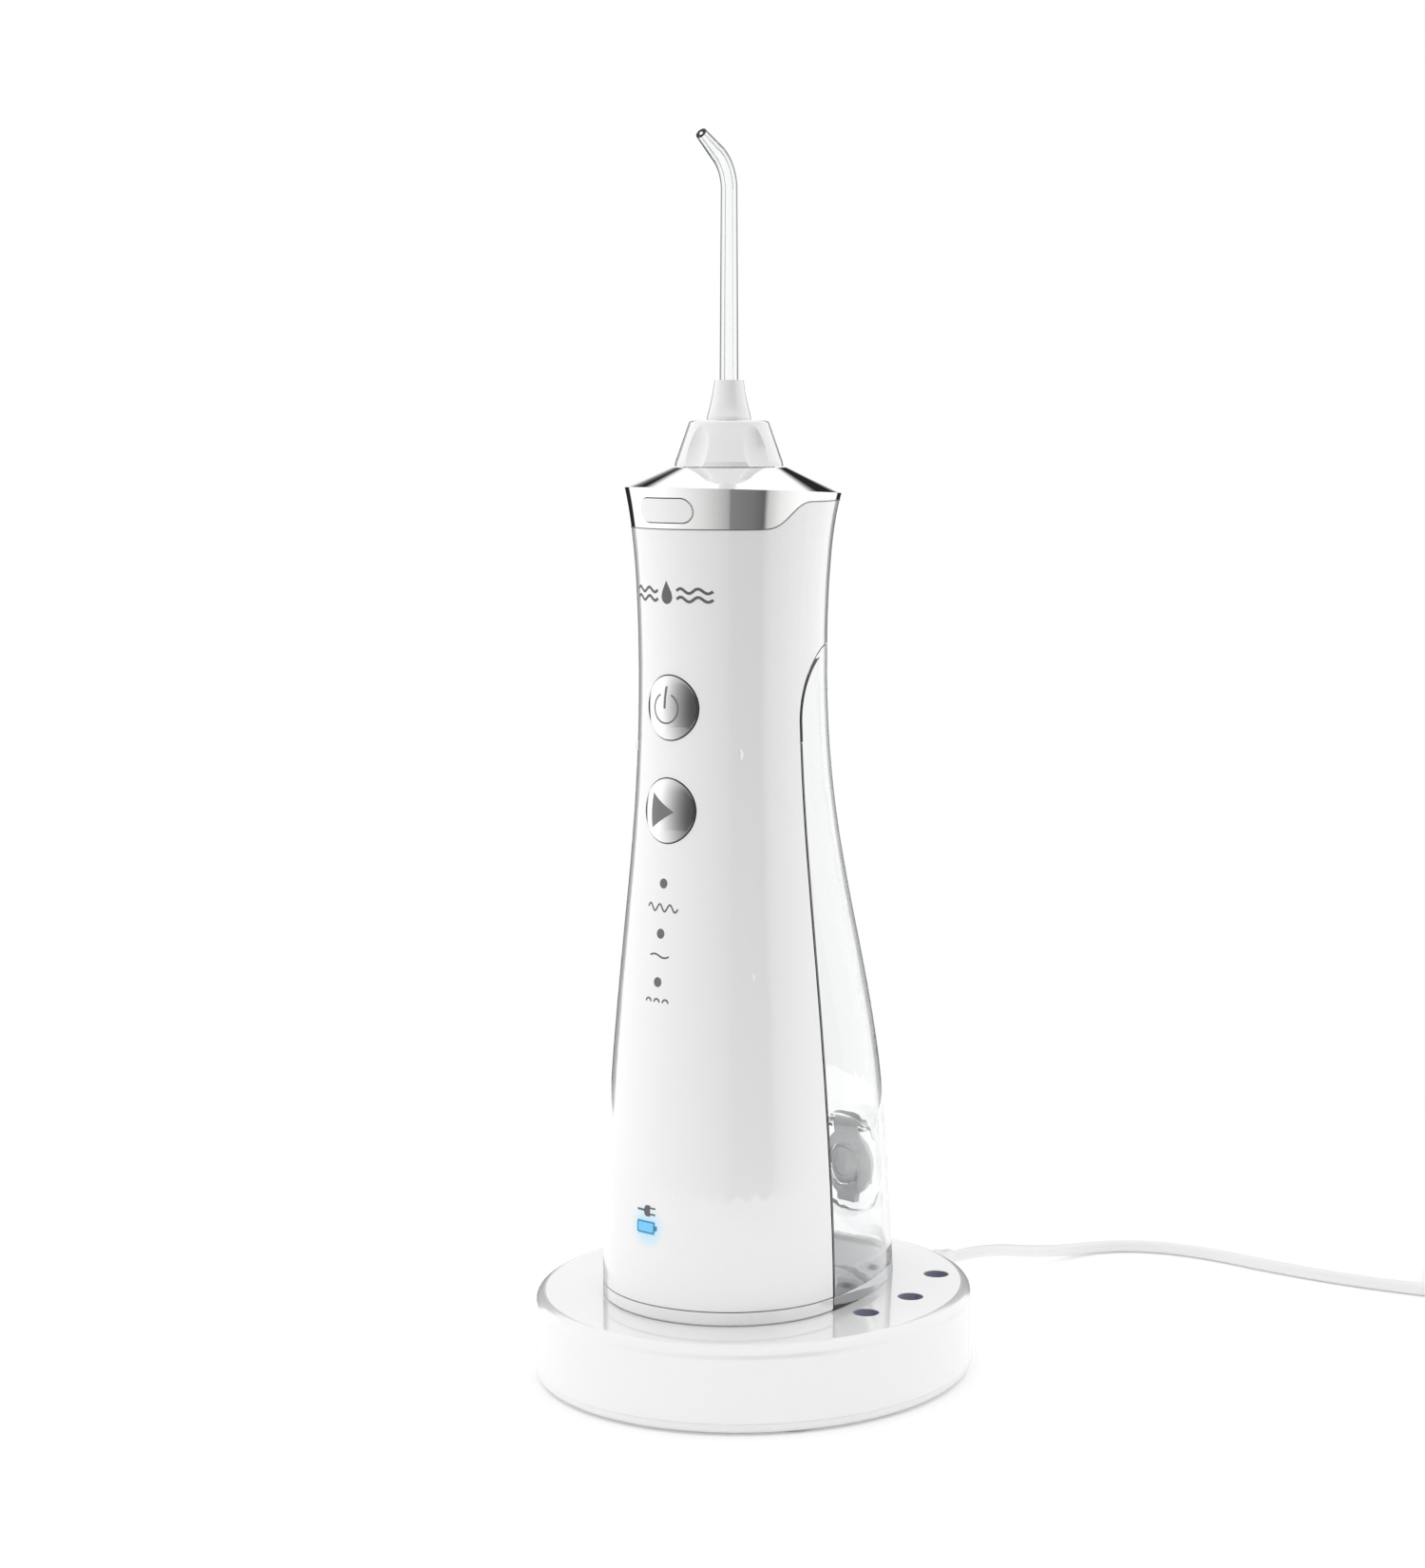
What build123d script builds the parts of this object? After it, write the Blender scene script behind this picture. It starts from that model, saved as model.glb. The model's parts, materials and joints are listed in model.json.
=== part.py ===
from build123d import *
import math
import os

# Cordless water flosser standing on its oval charging base.
# Millimetres, +Z up. The origin is the centre of the base's footprint, at floor level.
# The front, with the buttons, faces -Y. The clear water tank is the back of the handle.

# ---- driving dimensions -------------------------------------------------------------
AXIS_Y = -10.25          # the handle and nozzle axis stands this far from the base's centre
BASE_X = 53.1            # half width of the oval base
BASE_Y = 57.8            # half length of the oval base
BASE_TOP = 21.5
PLATE_LOW = 0.8          # underside of the base plate, held up by the feet
PLATE_TOP = 3.1
BASE_WALL = 2.4
WELL_RADIUS = 3.2        # spare tips stand in these
WELL_DEPTH = 14.0
WELLS = [(37.8, -3.4), (38.0, 14.5), (31.1, 34.9)]
FOOT_SPOTS = [(36, 30), (-36, 30), (36, -30), (-36, -30)]
SCREW_SPOTS = [(40, -16), (-40, -16), (22, 43), (-22, 43)]
POST_Y = AXIS_Y - 12.5   # the charging post that the handle drops over
POST_RADIUS = 12.0
POST_TOP = 27.5

HANDLE_LOW = 21.6
TRIM_TOP = 24.9
HOUSING_LOW = 25.2
WALL = 2.0
FIT = 0.3                # room between pieces that come apart
# height, front radius (also the half width) and back depth of the handle's outside
PROFILE = [
    (21.6, 31.2, 54.2), (34, 31.1, 53.0), (60, 30.0, 50.8), (88, 28.0, 45.9), (117, 25.3, 37.4),
    (145, 22.9, 30.1), (173, 21.9, 27.0), (200, 22.6, 27.3),
]
COLLAR_EDGE = (220.0, 25.2, 30.3)
COLLAR_TILT = 2.3        # degrees, the bevel's edge is higher at the front
COLLAR_TOP = 225.5
COLLAR_HOLE = 11.3
BAND_LOW = 211.2         # lower edge of the chrome band at the front
RIM_LOW = 217.6          # and round the back

SEAM_LOW = 2.3           # where housing and tank meet, behind the axis, at the bottom
SEAM_HIGH = 0.0          # and at the start of the arch
ARCH_LOW = 165.0
ARCH_TOP = 183.0
ARCH_DEPTH = 15.0
TANK_FLOOR = 24.4
PORT_Z = 45.0            # the fill port, centred on the tank's back
PORT_RADIUS = 5.5
PAD_RADIUS = 13.6        # the thick patch of tank wall round the port
RECESS_RADIUS = 13.0     # and the flat sunk into it
LUG_X = 5.2              # the cap's hinge lugs, to each side
SEAT_FACE = 48.6         # flat face round the port, behind the axis
CAP_HINGE = (50.2, 55.6)      # behind the axis, height
INTAKE_Y = 8.8           # the suction tube stands in the tank, behind the axis
SPIGOT_Z = 152.0         # water passes from tank to handle here

BUTTONS = [168.8, 144.2]
BUTTON_RADIUS = 7.7
LENSES = [126.8, 114.8, 103.2]
CHARGE_Z = 44.0
BOARD_FRONT = -16.6      # front face of the control board, from the axis
STEM_END = -18.9         # the buttons' stems end here

HOUSING_SCREWS = [(side * x, z) for x, z in ((22.0, 48), (19.0, 105), (14.5, 158)) for side in (-1, 1)]

RELEASE_Z = 215.6
RELEASE_SIZE = (15.8, 5.6)
KNOB_LOW = 225.7
KNOB_TOP = 236.7
KNOB_RADII = (13.15, 9.35)
FLUTES = 5               # shallow finger flutes round the knob
FLUTE_AXES = (7.0, 12.3)
FLUTE_DEPTH = 0.6
TIP_COLLAR_TOP = 246.3
TIP_COLLAR_RADII = (5.3, 3.5)
SHANK_RADIUS = 3.0
SHANK_LOW = 206.5
TUBE_RADII = (2.35, 1.98, 1.4)     # at the collar, at the bend, at the tip
TUBE_BORES = (1.3, 1.0, 0.5)
TUBE_LOW = 227.7         # the tube's foot, inside the knob
BEND_Z = 291.4           # the bend starts here
BEND_TURN = 55.0         # degrees, towards the front
BEND_RADIUS = 10.0
TIP_TOP = 305.0

PUMP_Y = -10.5           # motor, crank and pump line, from the axis
MOTOR_X = 11.0
MOTOR_RADIUS = 7.7
MOTOR_LOW = 41.0
MOTOR_TOP = 66.0
MODULE = 0.5
PINION_TEETH = 12
GEAR_TEETH = 32
GEAR_Z = 78.0
CRANK_THROW = 3.0
ROD_LENGTH = 24.0
PUMP_BORE = 3.5
PUMP_WALL = 0.9
VALVE_X = 4.8            # the inlet and outlet valves stand this far to each side of the pump line
BATTERY = (-10.0, -11.0, 7.1, 36.0, 86.0)    # x, from the axis, radius, bottom, top

CORD_RADIUS = 1.7
RELIEF_TURN = 7.0        # degrees, the strain relief leans towards +X
RELIEF_START = (1.5, 53.0, 11.8)
RELIEF_LENGTH = 25.4
CORD_POINTS = [
    (5.7, 88.0, 11.4), (5.6, 100.0, 9.4), (4.6, 115.0, 5.6), (5.2, 131.0, 2.4), (10.4, 145.5, 1.8),
    (21.5, 154.4, 1.8), (37.0, 158.2, 1.8), (58.0, 157.6, 1.8), (82.0, 159.4, 1.8),
]
CORD_END = (106.0, 165.3, 1.8)
COIL_CENTRE = (116.0, 189.0)
COIL_RADII = (15.0, 25.6)
COIL_HEIGHT = 10.4
PLUG_LEAD = (143.2, 194.4)    # the narrow end of the plug's boot
PLUG_TURN = -12.0
PLUG_SIZE = (22.0, 19.0, 15.0)
BOOT_LENGTH = 12.0
BOOT_INSET = 3.5         # the boot leaves the plug this far from its side


# ---- helpers ------------------------------------------------------------------------
def across_y(radius, start, end, x=0.0, z=0.0):
    """A round bar along Y, from start to end measured from the handle's axis."""
    bar = Cylinder(radius, end - start, rotation=(90, 0, 0))
    return Pos(x, AXIS_Y + (start + end) / 2, z) * bar


def across_x(radius, start, end, y, z):
    """A round bar along X at y from the handle's axis."""
    bar = Cylinder(radius, end - start, rotation=(0, 90, 0))
    return Pos((start + end) / 2, AXIS_Y + y, z) * bar


def upright(radius, low, high, x=0.0, y=0.0):
    """A round bar along Z at y from the handle's axis."""
    return Pos(x, AXIS_Y + y, (low + high) / 2) * Cylinder(radius, high - low)


def block(x_range, y_range, z_range):
    """A box given by its limits, y measured from the handle's axis."""
    size = [b - a for a, b in (x_range, y_range, z_range)]
    middle = [(a + b) / 2 for a, b in (x_range, y_range, z_range)]
    return Pos(middle[0], AXIS_Y + middle[1], middle[2]) * Box(*size)


def side_shape(edges, half_width=80):
    """A shape drawn from the side (y from the handle's axis, z), run across the whole width."""
    face = Plane.YZ * make_face(edges)
    return Pos(0, AXIS_Y, 0) * extrude(face, amount=half_width, both=True)


def section(height, front, back, tilt=0.0):
    """One level outline of the handle: a half circle in front, a half ellipse behind."""
    lean = math.radians(tilt)
    plane = Plane(origin=(0, AXIS_Y, height), x_dir=(1, 0, 0), z_dir=(0, math.sin(lean), math.cos(lean)))
    front_half = ThreePointArc((-front, 0), (0, -front), (front, 0))
    back_half = EllipticalCenterArc((0, 0), front, back, 0, arc_size=180)
    return plane * make_face([front_half, back_half])


def envelope(inset=0.0):
    """The handle's outside, or the same shape further in."""
    rows = [section(z, front - inset, back - inset) for z, front, back in PROFILE]
    z, front, back = COLLAR_EDGE
    rows.append(section(z, front - inset, back - inset, COLLAR_TILT))
    return loft(rows)


def bevel(inset=0.0):
    """The cone above the collar's edge."""
    z, front, back = COLLAR_EDGE
    edge = section(z, front - inset, back - inset, COLLAR_TILT)
    crown = section(COLLAR_TOP - inset, 14.2, 14.2)
    return loft([edge, crown])


def surface_front(height):
    """The handle's front radius at a height."""
    rows = PROFILE + [COLLAR_EDGE]
    for (z0, r0, _), (z1, r1, _) in zip(rows, rows[1:]):
        if z0 <= height <= z1:
            return r0 + (r1 - r0) * (height - z0) / (z1 - z0)
    return rows[-1][1]


def seam_at(height):
    """Where housing and tank meet at a height below the arch, from the axis."""
    share = (height - HANDLE_LOW) / (ARCH_LOW - HANDLE_LOW)
    return SEAM_LOW + (SEAM_HIGH - SEAM_LOW) * share


def behind_seam(gap, low=0.0):
    """All space behind the seam and under the arch, drawn back by a gap."""
    top = ARCH_TOP - gap
    arch = EllipticalCenterArc((ARCH_DEPTH, ARCH_LOW), ARCH_DEPTH - gap, top - ARCH_LOW, 90, arc_size=90)
    return side_shape([
        Line((seam_at(low) + gap, low), (SEAM_HIGH + gap, ARCH_LOW)),
        arch,
        Line((ARCH_DEPTH, top), (90, top)),
        Line((90, top), (90, low)),
        Line((90, low), (seam_at(low) + gap, low)),
    ])


def above_band():
    """All space above the chrome collar's lower edge."""
    return side_shape([
        Line((-60, BAND_LOW), (-12, BAND_LOW)),
        Spline((-12, BAND_LOW), (1, RIM_LOW), tangents=[(1, 0), (1, 0)]),
        Line((1, RIM_LOW), (60, RIM_LOW)),
        Line((60, RIM_LOW), (60, 250)),
        Line((60, 250), (-60, 250)),
        Line((-60, 250), (-60, BAND_LOW)),
    ])


def slab_below(height):
    return Pos(0, 0, height - 200) * Box(400, 400, 400)


def slab_above(height):
    return Pos(0, 0, height + 200) * Box(400, 400, 400)


def oval(half_x, half_y, low, high):
    return extrude(Plane.XY.offset(low) * Ellipse(half_x, half_y), amount=high - low)


def at_z(shape, x, y, z):
    return Pos(x, y, z) * shape


# ---- charging base ------------------------------------------------------------------
def base_shell():
    outer = oval(BASE_X, BASE_Y, PLATE_TOP + 0.1, BASE_TOP)
    outer = fillet(outer.edges().group_by(Axis.Z)[-1], 3.0)
    inner = oval(BASE_X - BASE_WALL, BASE_Y - BASE_WALL, PLATE_TOP, BASE_TOP - BASE_WALL)
    inner = fillet(inner.edges().group_by(Axis.Z)[-1], 1.0)
    shell = outer - inner
    post = Pos(0, POST_Y, (BASE_TOP - 1 + POST_TOP) / 2) * Cylinder(POST_RADIUS, POST_TOP - BASE_TOP + 1)
    post = fillet(post.edges().group_by(Axis.Z)[-1], 1.5)
    shell += post
    shell -= Pos(0, POST_Y, (BASE_TOP - 3 + POST_TOP - 1.5) / 2) * Cylinder(
        POST_RADIUS - 1.2, POST_TOP - 1.5 - BASE_TOP + 3)
    for x, y in WELLS:
        shell -= at_z(Cylinder(WELL_RADIUS, 10), x, y, BASE_TOP)
    for x, y in SCREW_SPOTS:
        boss = at_z(Cylinder(3.2, 15.0), x, y, 12.0)
        shell += boss
        shell -= at_z(Cylinder(1.3, 11.0), x, y, PLATE_TOP + 5.5)
    return shell - relief_frame() * Pos(0, 0, 4.5) * Cylinder(3.6, 14)


def base_plate():
    plate = oval(BASE_X - 0.2, BASE_Y - 0.2, PLATE_LOW, PLATE_TOP)
    plate = chamfer(plate.edges().group_by(Axis.Z)[0], 1.0)
    for x, y in FOOT_SPOTS:
        plate -= at_z(Cylinder(6.05, 1.2), x, y, PLATE_LOW + 0.3)
    for x, y in SCREW_SPOTS:
        plate -= at_z(Cylinder(1.75, 10), x, y, PLATE_LOW)
        plate -= at_z(Cylinder(3.3, 1.4), x, y, PLATE_LOW + 0.3)
    return plate


def base_feet():
    foot = Cylinder(6.0, 0.9 + PLATE_LOW)
    foot = fillet(foot.edges().group_by(Axis.Z)[0], 0.5)
    return [at_z(foot, x, y, (0.9 + PLATE_LOW) / 2) for x, y in FOOT_SPOTS]


def base_screws():
    screws = []
    for x, y in SCREW_SPOTS:
        head = at_z(Cylinder(2.9, 1.0), x, y, PLATE_LOW + 0.5)
        shank = at_z(Cylinder(1.25, 10.0), x, y, PLATE_LOW + 5.9)
        slot = at_z(Box(3.6, 0.7, 0.6), x, y, PLATE_LOW)
        screws.append(head + shank - slot)
    return screws


def tip_cups():
    top = BASE_TOP - BASE_WALL
    cups = []
    for x, y in WELLS:
        low = BASE_TOP - WELL_DEPTH - 1.2
        cup = at_z(Cylinder(4.4, top - low), x, y, (top + low) / 2)
        cup -= at_z(Cylinder(WELL_RADIUS, top - low), x, y, (top + low) / 2 + 1.2)
        cups.append(cup)
    return cups


def post_ring(outer, inner, low, high):
    ring = Cylinder(outer, high - low) - Cylinder(inner, high - low)
    return Pos(0, POST_Y, (low + high) / 2) * ring


def primary_core():
    return at_z(Cylinder(4.2, 6.4), 0, POST_Y, 22.6)


def charger_board():
    board = at_z(Box(34, 26, 1.6), 0, 20, 8.8)
    for x, y, size, tall in [(-8, 16, 9, 6), (6, 24, 6, 4), (10, 14, 5, 3), (-9, 27, 4, 2)]:
        board += at_z(Box(size, size, tall), x, y, 9.6 + tall / 2)
    board += at_z(Cylinder(3.4, 8), 0, 14, 13.6)
    for x in (-12, 12):
        board += at_z(Cylinder(1.5, 4.7), x, 20, 5.6)
    return board


def relief_frame():
    """The line that the strain relief follows out of the base's back."""
    turn = math.radians(RELIEF_TURN)
    return Plane(origin=RELIEF_START, z_dir=(math.sin(turn), math.cos(turn), 0))


def cord_strain_relief():
    """A tapered, ribbed sleeve with a grommet groove where it passes the wall."""
    steps = [(0, 4.6), (1.6, 4.6), (1.6, 3.5), (6.4, 3.5)]
    outline = Polyline([(0, 0)] + [(r, z) for z, r in steps] + [(2.5, RELIEF_LENGTH), (0, RELIEF_LENGTH)],
                       close=True)
    sleeve = revolve(Plane.XZ * make_face(outline), Axis.Z)
    for step in range(4):
        height = 8.4 + step * 3.6
        radius = 3.45 - step * 0.2
        sleeve += Pos(0, 0, height) * Cylinder(radius + 0.45, 1.6)
    return relief_frame() * sleeve


def relief_end():
    turn = math.radians(RELIEF_TURN)
    x, y, z = RELIEF_START
    return (x + math.sin(turn) * RELIEF_LENGTH, y + math.cos(turn) * RELIEF_LENGTH, z)


def cord_radii(points):
    """The largest arc that the two runs at each corner leave room for."""
    radii = []
    for before, here, after in zip(points, points[1:], points[2:]):
        first = Vector(*here) - Vector(*before)
        second = Vector(*after) - Vector(*here)
        turn = math.radians(first.get_angle(second))
        radii.append(0.45 * min(first.length, second.length) / math.tan(turn / 2))
    return radii


def power_cord():
    points = [relief_end()] + CORD_POINTS + [CORD_END]
    radii = cord_radii(points)
    print("cord radii", [round(r, 1) for r in radii])
    path = FilletPolyline(points, radius=radii)
    start = Plane(origin=path @ 0, z_dir=path % 0)
    tube = sweep(start * Circle(CORD_RADIUS), path=path)
    expected = path.length * math.pi * CORD_RADIUS ** 2
    print("cord length", round(path.length, 1))
    print("cord volume", round(tube.volume), "section x length", round(expected))
    return tube


def cord_coil():
    inner, outer = COIL_RADII
    ring = Cylinder(outer, COIL_HEIGHT) - Cylinder(inner, COIL_HEIGHT)
    ring = fillet(ring.edges(), 2.0)
    return at_z(ring, COIL_CENTRE[0], COIL_CENTRE[1], COIL_HEIGHT / 2 + 0.05)


def plug_frame():
    """The plug lies flat beside the coil, the narrow end of its boot on the coil's outer turn."""
    wide, deep, tall = PLUG_SIZE
    return Pos(PLUG_LEAD[0], PLUG_LEAD[1], tall / 2 + 0.05) * Rot(0, 0, PLUG_TURN) * Pos(
        wide / 2 - BOOT_INSET, BOOT_LENGTH + deep / 2, 0)


def plug_body():
    wide, deep, tall = PLUG_SIZE
    body = fillet(Box(wide, deep, tall).edges(), 2.5)
    boot = Cone(3.4, 2.2, BOOT_LENGTH + 1, rotation=(-90, 0, 0))
    boot = Pos(BOOT_INSET - wide / 2, -(deep + BOOT_LENGTH - 1) / 2, 0) * boot
    return plug_frame() * (body + boot)


def plug_blades():
    blades = []
    for side in (-1, 1):
        blade = Box(1.5, 17.0, 6.3)
        blade = fillet(blade.edges().filter_by(Axis.X), 1.2)
        blade -= Pos(0, 4.5, 0) * Cylinder(1.4, 4, rotation=(0, 90, 0))
        blades.append(plug_frame() * Pos(side * 6.35, PLUG_SIZE[1] / 2 + 8.5, 0) * blade)
    return blades


# ---- handle shells ------------------------------------------------------------------
def front_housing(outer, inner):
    shell = outer - inner
    shell -= behind_seam(0.0)
    shell -= above_band()
    shell -= slab_below(HOUSING_LOW)
    roof = behind_seam(-WALL) & envelope(0.5)
    roof -= behind_seam(0.0)
    shell += roof & slab_above(ARCH_LOW + 4)
    for height in BUTTONS:
        shell -= across_y(BUTTON_RADIUS + 0.25, -40, -10, z=height)
    for height in LENSES:
        shell -= across_y(1.2, -40, -10, z=height)
    shell -= block((-2.6, 2.6), (-40, -20), (CHARGE_Z - 1.7, CHARGE_Z + 1.7))
    for x, height in HOUSING_SCREWS:
        reach = surface_front(height) - WALL
        front = -math.sqrt(reach ** 2 - x ** 2) - 0.8
        back = seam_at(height) - WALL - 0.2
        shell += across_y(2.3, front, back, x=x, z=height)
        shell -= across_y(0.9, back - 9, back + 1, x=x, z=height)
    return shell


def rear_frame(inner):
    """The wall that closes the housing's back, with the spigot that feeds the pump."""
    wall = behind_seam(-WALL) & inner
    wall -= behind_seam(0.0)
    wall -= slab_below(HOUSING_LOW + 0.1)
    wall -= slab_above(ARCH_LOW + 3.8)
    seam = seam_at(SPIGOT_Z)
    wall += across_y(2.0, seam - 4.0, seam + 5.0, z=SPIGOT_Z)
    wall -= across_y(1.1, seam - 9.0, seam + 9.0, z=SPIGOT_Z)
    for x, height in HOUSING_SCREWS:
        wall -= across_y(1.3, -9, 9, x=x, z=height)
    return wall


def housing_screws():
    screws = []
    for x, height in HOUSING_SCREWS:
        back = seam_at(height)
        shank = across_y(0.85, back - 9, back - 0.2, x=x, z=height)
        head = across_y(1.25, back - 1.1, back - 0.05, x=x, z=height)
        screws.append(shank + head)
    return screws


def handle_base_cap(outer, inner):
    """The trim ring round the housing's foot, with the socket for the charging post."""
    cap = outer - slab_above(TRIM_TOP) - behind_seam(0.0)
    cap = chamfer(cap.edges().group_by(Axis.Z)[0], 0.5)
    socket_top = POST_TOP + 0.4
    drum = Pos(0, POST_Y, (TRIM_TOP - 1 + socket_top + 1.4) / 2) * Cylinder(
        POST_RADIUS + 2.0, socket_top + 1.4 - TRIM_TOP + 1)
    cap += (drum & inner) - behind_seam(-WALL - FIT)
    lip = (inner & slab_above(TRIM_TOP - 0.5) & slab_below(TRIM_TOP + 2.6)) - behind_seam(-WALL - 0.3)
    hollow = envelope(WALL + 1.6) & slab_above(TRIM_TOP) & slab_below(40)
    cap += lip - hollow
    cap -= Pos(0, POST_Y, (HANDLE_LOW - 3 + socket_top) / 2) * Cylinder(
        POST_RADIUS + 0.4, socket_top - HANDLE_LOW + 3)
    return cap


def chrome_collar(outer, inner):
    top = bevel()
    band = (outer & above_band()) - inner
    cone = top - bevel_inside()
    collar = band + cone
    collar -= upright(COLLAR_HOLE, 210, 230)
    wide, tall = RELEASE_SIZE
    slot = pill(wide + 0.5, tall + 0.5, -40, -15)
    return collar - slot


def bevel_inside():
    """The hollow under the collar's cone."""
    z, front, back = COLLAR_EDGE
    edge = section(z - 0.02, front - WALL, back - WALL, COLLAR_TILT)
    crown = section(COLLAR_TOP - 1.8, 12.6, 12.6)
    return loft([edge, crown])


def pill(wide, tall, front, back):
    """A bar of long round section along Y at the release button's height."""
    shape = Plane.XZ * SlotOverall(wide, tall)
    bar = extrude(shape, amount=back - front)
    return Pos(0, AXIS_Y + back, RELEASE_Z) * bar


# ---- water tank ---------------------------------------------------------------------
def port_pad(outer):
    return across_y(PAD_RADIUS, SEAT_FACE - 3.2, SEAT_FACE, z=PORT_Z) & outer


def reservoir_tank(outer, inner):
    tank = outer & behind_seam(FIT + 0.05, low=HANDLE_LOW)
    cavity = inner & (behind_seam(WALL + FIT, low=TANK_FLOOR) + block((-60, 60), (-9, 12), (TANK_FLOOR, 160)))
    tank -= cavity
    tank += port_pad(outer)
    tank -= across_y(RECESS_RADIUS, SEAT_FACE, 70, z=PORT_Z)
    tank -= across_y(PORT_RADIUS, 40, 70, z=PORT_Z)
    hinge_y, hinge_z = CAP_HINGE
    for side in (-1, 1):
        x = side * LUG_X
        lug = block((x - 1.0, x + 1.0), (SEAT_FACE - 1, hinge_y), (hinge_z - 1.4, hinge_z + 1.4))
        lug += across_x(1.4, x - 1.0, x + 1.0, hinge_y, hinge_z)
        tank += lug
    return tank - across_x(0.75, -6.0, 6.0, hinge_y, hinge_z)


def reservoir_front(inner):
    """The tank's flat front panel."""
    panel = behind_seam(FIT + 0.05, low=TANK_FLOOR + 0.05) & inner
    panel -= behind_seam(FIT + WALL, low=0)
    panel -= slab_above(159.8)
    seam = seam_at(SPIGOT_Z)
    panel += across_y(4.2, seam + FIT + 1.0, INTAKE_Y + 2.0, z=SPIGOT_Z)
    panel -= across_y(3.0, seam - 1.0, seam + 6.0, z=SPIGOT_Z)
    panel -= across_y(1.5, seam + 5.0, INTAKE_Y + 0.5, z=SPIGOT_Z)
    panel -= upright(1.5, SPIGOT_Z - 6, SPIGOT_Z, y=INTAKE_Y)
    return panel


def reservoir_seal():
    seam = seam_at(SPIGOT_Z)
    ring = across_y(3.0, seam + 1.2, seam + 4.4, z=SPIGOT_Z)
    return ring - across_y(2.05, seam - 1, seam + 9, z=SPIGOT_Z)


def intake_tube():
    y = INTAKE_Y
    tube = upright(1.45, 30.0, SPIGOT_Z - 0.2, y=y) - upright(0.9, 20, SPIGOT_Z - 2.0, y=y)
    return tube - across_y(0.9, y - 4, y, z=SPIGOT_Z - 2.2)


def intake_filter():
    y = INTAKE_Y
    cage = upright(3.4, 26.0, 34.0, y=y) - upright(1.5, 25, 40, y=y)
    for height in (27.6, 29.4, 31.2):
        cage -= upright(3.6, height, height + 0.8, y=y) - upright(2.6, height - 1, height + 2, y=y)
    return cage


def fill_cap():
    hinge_y, hinge_z = CAP_HINGE
    cap = across_y(8.6, SEAT_FACE + 0.25, SEAT_FACE + 2.0, z=PORT_Z)
    cap += across_y(4.7, SEAT_FACE - 2.1, SEAT_FACE + 1.0, z=PORT_Z)
    cap -= across_y(5.3, SEAT_FACE - 1.6, SEAT_FACE - 0.7, z=PORT_Z) - across_y(4.0, 40, 60, z=PORT_Z)
    cap += block((-3.6, 3.6), (SEAT_FACE + 0.5, SEAT_FACE + 2.0), (PORT_Z + 7.0, hinge_z))
    cap += across_x(1.4, -3.6, 3.6, hinge_y, hinge_z)
    cap += block((-3.0, 3.0), (SEAT_FACE + 0.6, SEAT_FACE + 2.4), (PORT_Z - 10.0, PORT_Z - 7.2))
    cap -= across_y(3.4, SEAT_FACE - 3.0, SEAT_FACE - 0.5, z=PORT_Z)
    return cap - across_x(0.8, -9, 9, hinge_y, hinge_z)


def fill_cap_seal():
    ring = across_y(5.15, SEAT_FACE - 1.55, SEAT_FACE - 0.75, z=PORT_Z)
    return ring - across_y(4.05, 40, 60, z=PORT_Z)


def hinge_pin():
    hinge_y, hinge_z = CAP_HINGE
    return across_x(0.72, -5.9, 5.9, hinge_y, hinge_z)


# ---- buttons, lights and electronics --------------------------------------------------
def round_button(height, proud_shape):
    depth = surface_front(height) - 1.9
    cap = across_y(BUTTON_RADIUS, -30, -depth, z=height) & proud_shape
    stem = across_y(1.5, -depth - 0.1, STEM_END, z=height)
    return cap + stem


def button_seals():
    """Thin silicone discs behind the two round buttons."""
    seals = []
    for height in BUTTONS:
        back = min(-(surface_front(height) - 1.9) + 1.0, STEM_END - 0.4)
        disc = across_y(6.0, back, back + 0.4, z=height) - across_y(1.75, -30, -10, z=height)
        seals.append(disc)
    return seals


def release_button(proud_shape):
    """The pill on the collar's front and the latch plate it pushes."""
    wide, tall = RELEASE_SIZE
    button = pill(wide, tall, -40, -20.5) & proud_shape
    plate = block((-6.5, 6.5), (-20.6, 8.0), (RELEASE_Z - 1.0, RELEASE_Z + 1.0))
    plate = fillet(plate.edges().filter_by(Axis.Z), 2.0)
    return button + (plate - upright(4.9, 200, 230))


def release_spring():
    """A small coil spring behind the latch plate, drawn as a plain sleeve."""
    return across_y(1.6, 8.1, 17.9, z=RELEASE_Z) - across_y(1.0, 0, 30, z=RELEASE_Z)


def spring_post(inner):
    """The wall that the latch spring pushes against, part of the nozzle seat."""
    post = block((-5, 5), (18.0, 20.0), (205.0, RELEASE_Z + 3.0))
    arm = block((-5, 5), (4.0, 20.0), (205.0, 207.5))
    return (post + arm) & inner


def indicator_lenses(outer):
    return [across_y(1.15, -40, -surface_front(z) + 2.6, z=z) & outer for z in LENSES]


def charge_lens(outer):
    return block((-2.5, 2.5), (-40, -28.2), (CHARGE_Z - 1.6, CHARGE_Z + 1.6)) & outer


def control_board():
    """The board behind the buttons, with its chips."""
    front = BOARD_FRONT
    board = block((-8, 8), (front, front + 1.2), (98, 178))
    board += block((-3.5, 3.5), (front - 1.0, front + 0.1), (131, 137))
    board += block((-6, -3), (front - 0.8, front + 0.1), (152, 156))
    board += block((2, 6), (front - 1.2, front + 0.1), (153, 159))
    return board


def tact_switches():
    switches = []
    for height in BUTTONS:
        body = block((-2.3, 2.3), (BOARD_FRONT - 1.0, BOARD_FRONT), (height - 2.3, height + 2.3))
        switches.append(body + across_y(1.0, BOARD_FRONT - 1.35, BOARD_FRONT - 0.9, z=height))
    return switches


def indicator_leds():
    leds = []
    for height in LENSES:
        leds.append(block((-0.9, 0.9), (BOARD_FRONT - 0.9, BOARD_FRONT), (height - 1.0, height + 1.0)))
    return leds


def charge_board():
    board = block((-7, 7), (-24.6, -23.4), (39, 53))
    return board + block((-1.2, 1.2), (-25.6, -24.5), (CHARGE_Z - 1, CHARGE_Z + 1))


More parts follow.
